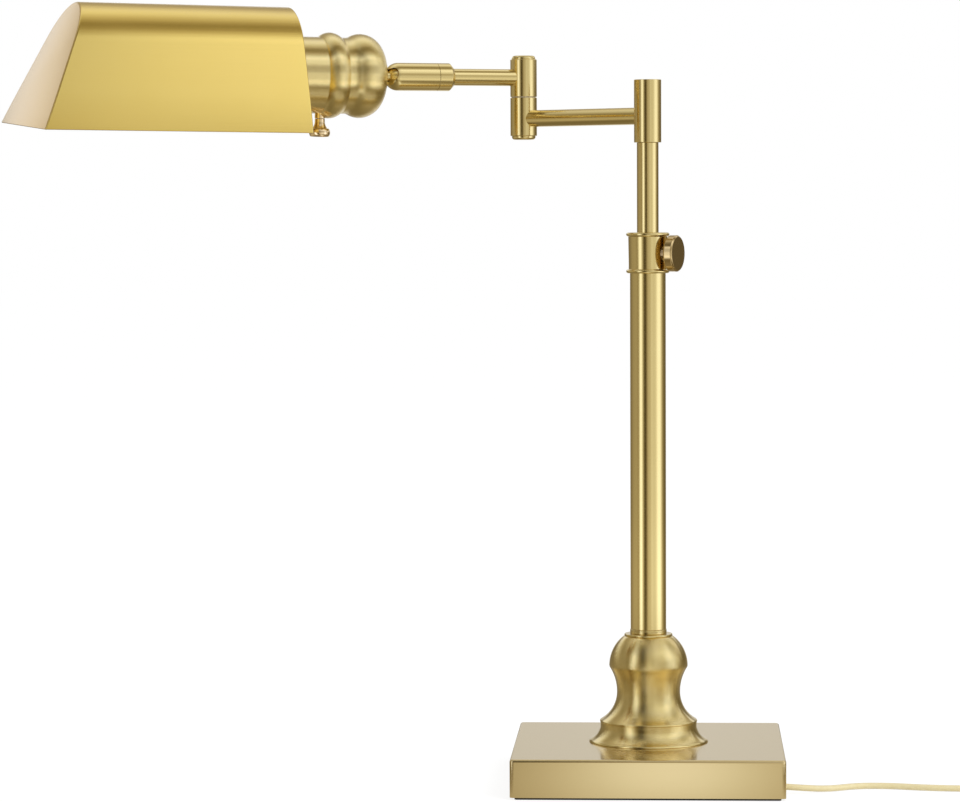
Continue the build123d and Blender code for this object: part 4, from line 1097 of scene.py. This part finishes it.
# studio: white surround, a tent with light and dark panels for the brass to mirror, pale floor
studio = {
    "tentRadius": 1.5,
    "tentMiddle": 0.35,
    "tentFoot": 0.001,
    "fill": 0.62,
    "around": [  # level of the tent's wall, by degrees from the camera's side towards the right
        (-180, 0.72), (-168, 0.66), (-157, 0.20), (-130, 0.28), (-108, 0.42), (-80, 0.46), (-63, 0.36), (-57, 0.80),
        (-51, 1.42), (-43, 1.48), (-36, 0.84), (-29, 0.36), (-22, 0.10), (-14, 0.08), (-8, 0.28), (-2, 0.52),
        (4, 0.62), (16, 0.68), (23, 0.88), (38, 0.80), (50, 0.86), (57, 1.06), (65, 1.34), (80, 1.41),
        (89, 1.15), (98, 0.70), (108, 0.38), (122, 0.20), (138, 0.16), (157, 0.24), (168, 0.66), (180, 0.72),
    ],
    "wallHeight": [  # share of it that is left, by metres of height
        (0.0, 1.18), (0.004, 1.18), (0.03, 0.97), (0.22, 0.94), (0.45, 0.89), (0.50, 0.88), (0.61, 0.64), (0.95, 0.56),
        (1.10, 0.80), (1.25, 1.05), (1.40, 1.10),
    ],
    "wallReach": 2,
    "over": [  # level above the wall, by degrees over the top from front right to back left
        (0, 1.10), (6, 0.95), (12, 0.71), (18, 0.60), (24, 0.57), (29, 0.70), (34, 0.98), (40, 1.05),
        (46, 1.10), (50, 1.25), (55, 1.35), (60, 1.15), (64, 0.88), (69, 0.62), (75, 0.37), (80, 0.29),
        (86, 0.30), (92, 0.52), (98, 0.66), (104, 0.80), (110, 0.97), (120, 1.02), (129, 0.78), (135, 0.60),
        (141, 0.47), (152, 0.39), (157, 0.55), (161, 0.86), (167, 0.92), (174, 0.80), (180, 0.70),
    ],
    "overSide": 30,
    "overFrom": (0.46, 0.60),  # heights between which what is over the wall sets in, where the wall is low
    "overAll": (1.2, 1.4),  # and where it isn't
    "crown": (1.66, 1.80),
    "overFade": [  # share of it that is left, by degrees from the camera's side
        (-180, 1.0), (-130, 1.0), (-100, 0.7), (-60, 0.5), (-30, 0.36), (0, 0.52), (10, 0.62), (17, 0.7),
        (25, 0.77), (32, 0.84), (40, 0.88), (47, 0.93), (60, 0.98), (80, 1.1), (115, 1.0), (180, 1.0),
    ],
    "wallLow": [(-180, 1), (-115, 1), (-95, 0), (18, 0), (32, 1), (50, 1), (60, 0), (95, 0), (110, 1), (180, 1)],
    "under": [  # level of the tent's ground, by metres from its lit spot before the base
        (0.0, 1.03), (0.02, 0.98), (0.035, 0.91), (0.05, 0.81), (0.065, 0.72), (0.08, 0.63), (0.10, 0.52), (0.15, 0.34),
        (0.25, 0.26), (0.35, 0.22), (0.60, 0.18), (1.50, 0.18),
    ],
    "underReach": 1.5,
    "groundFade": (0.45, 0.80),
    "groundTop": 0.002,
    "spot": (0.012, -0.22),
    "spotDepth": 3.0,
    "warm": (1.0, 0.78, 0.36),
    "cool": (1.0, 1.06, 1.28),
    "plainLevel": 0.85,
    "coolLevel": 1.5,
    "floorSize": 12.0,
    "floorTone": 0.94,
    "floorGlow": 1.14,
    "floorShare": 0.75,
}
keyLight = {"position": (1.2, -1.2, 1.6), "target": (-0.1, 0, 0.2), "size": 1.2, "power": 22}


# ramp stops for levels: low ones are warm, high ones are cool
def panelStops(levels, start, span):
    stops = []
    for at, level in levels:
        lift = level / studio["plainLevel"]
        if lift < 1:
            tint = [part + (1 - part) * lift for part in studio["warm"]]
        else:
            share = min(1, (level - studio["plainLevel"]) / (studio["coolLevel"] - studio["plainLevel"]))
            tint = [1 + (part - 1) * share for part in studio["cool"]]
        stops.append(((at - start) / span, [level * part for part in tint]))
    return stops


def plainStops(levels, start, span):
    return [((at - start) / span, (level, level, level)) for at, level in levels]


# one for what the camera sees, straight, in a mirror or through glass, and nought for other light
def looksOn(wire):
    seen = wire.node("ShaderNodeLightPath", out="Is Camera Ray")
    for kind in ("Is Glossy Ray", "Is Transmission Ray"):
        seen = wire.maths("MAXIMUM", seen, wire.node("ShaderNodeLightPath", out=kind))
    return seen


def addWorld():
    world = bpy.data.worlds.new("studio")
    bpy.context.scene.world = world
    world.use_nodes = True
    tree = world.node_tree
    tree.nodes.clear()
    seen = looksOn(Wire(tree))
    lit = seen.node("ShaderNodeBackground", None, {"Color": (1, 1, 1, 1), "Strength": studio["fill"]})
    white = seen.node("ShaderNodeBackground", None, {"Color": (1, 1, 1, 1), "Strength": 1.0})
    both = seen.node("ShaderNodeMixShader", None, {0: seen, 1: lit, 2: white})
    seen.node("ShaderNodeOutputWorld", None, {"Surface": both})


def addStage(name, bm, material):
    mesh = meshOf(name, bm)
    mesh.shade_smooth()
    mesh.materials.append(material)
    piece = linked(name, mesh)
    return piece


def addTent():
    material, spot = startMaterial("tentPanels")
    x, y, z = (spot.node("ShaderNodeSeparateXYZ", None, {0: spot}, out=k) for k in range(3))
    height = z - studio["tentMiddle"]
    turn = spot.maths("ARCTAN2", x, 0 - y) / (2 * pi) + 0.5
    side = radians(studio["overSide"])
    front = sin(side) * x - cos(side) * y
    climb = spot.maths("ARCTAN2", height, front) / pi
    around = spot.ramp(turn, panelStops(studio["around"], -180, 360))
    tall = spot.ramp(z / studio["wallReach"], plainStops(studio["wallHeight"], 0, studio["wallReach"]))
    around = around.scaled(tall)
    over = spot.ramp(climb, panelStops(studio["over"], 0, 180))
    fade = spot.ramp(turn, plainStops(studio["overFade"], -180, 360))
    low = spot.ramp(turn, plainStops(studio["wallLow"], -180, 360))
    crown = z.rise(*studio["crown"])
    fade = crown + (1 - crown) * fade
    over = over.scaled(fade)
    lift = spot.maths("MAXIMUM", z.rise(*studio["overFrom"]) * low, z.rise(*studio["overAll"]))
    wall = lift.mix(around, over)
    away = spot.maths("POWER", x - studio["spot"][0], 2.0) + spot.maths(
        "POWER", (y - studio["spot"][1]) / studio["spotDepth"], 2.0
    )
    away = spot.maths("SQRT", away, 0.0) / studio["underReach"]
    near = spot.ramp(away, panelStops(studio["under"], 0, studio["underReach"]))
    reach = spot.maths("SQRT", x * x + y * y, 0.0)
    ground = reach.rise(*studio["groundFade"]).mix(near, around)
    tone = spot.maths("LESS_THAN", z, studio["groundTop"]).mix(wall, ground)
    glow = spot.node("ShaderNodeEmission", None, {"Color": tone, "Strength": 1.0})
    spot.node("ShaderNodeOutputMaterial", None, {"Surface": glow})
    bm = bmesh.new()
    bmesh.ops.create_uvsphere(bm, u_segments=64, v_segments=32, radius=studio["tentRadius"])
    bmesh.ops.translate(bm, vec=(0, 0, studio["tentMiddle"]), verts=bm.verts)
    cut = bmesh.ops.bisect_plane(
        bm,
        geom=bm.verts[:] + bm.edges[:] + bm.faces[:],
        plane_co=(0, 0, studio["tentFoot"]),
        plane_no=(0, 0, -1),
        clear_outer=True,
    )
    rim = [item for item in cut["geom_cut"] if isinstance(item, bmesh.types.BMEdge)]
    bmesh.ops.contextual_create(bm, geom=rim)
    tent = addStage("lightTent", bm, material)
    tent.visible_camera = tent.visible_diffuse = tent.visible_shadow = tent.visible_transmission = False


def addFloor():
    bm = bmesh.new()
    bmesh.ops.create_grid(bm, x_segments=1, y_segments=1, size=studio["floorSize"])
    material, spot = startMaterial("paleFloor")
    seen = looksOn(spot)
    matt = spot.node("ShaderNodeBsdfDiffuse", None, {"Color": (*[studio["floorTone"]] * 3, 1)})
    glow = spot.node("ShaderNodeEmission", None, {"Color": (1, 1, 1, 1), "Strength": studio["floorGlow"]})
    both = spot.node("ShaderNodeMixShader", None, {0: seen * studio["floorShare"], 1: matt, 2: glow})
    spot.node("ShaderNodeOutputMaterial", None, {"Surface": both})
    addStage("floor", bm, material)


def addKeyLight():
    data = bpy.data.lights.new("keyLight", "AREA")
    data.size, data.energy = keyLight["size"], keyLight["power"]
    light = linked("keyLight", data)
    position = Vector(keyLight["position"])
    light.matrix_world = lyingAt(position, position - Vector(keyLight["target"]), zUp)
    light.visible_glossy = False


addWorld()
addTent()
addFloor()
addKeyLight()
bpy.context.scene.view_settings.view_transform = "Standard"
print("studio: lit")
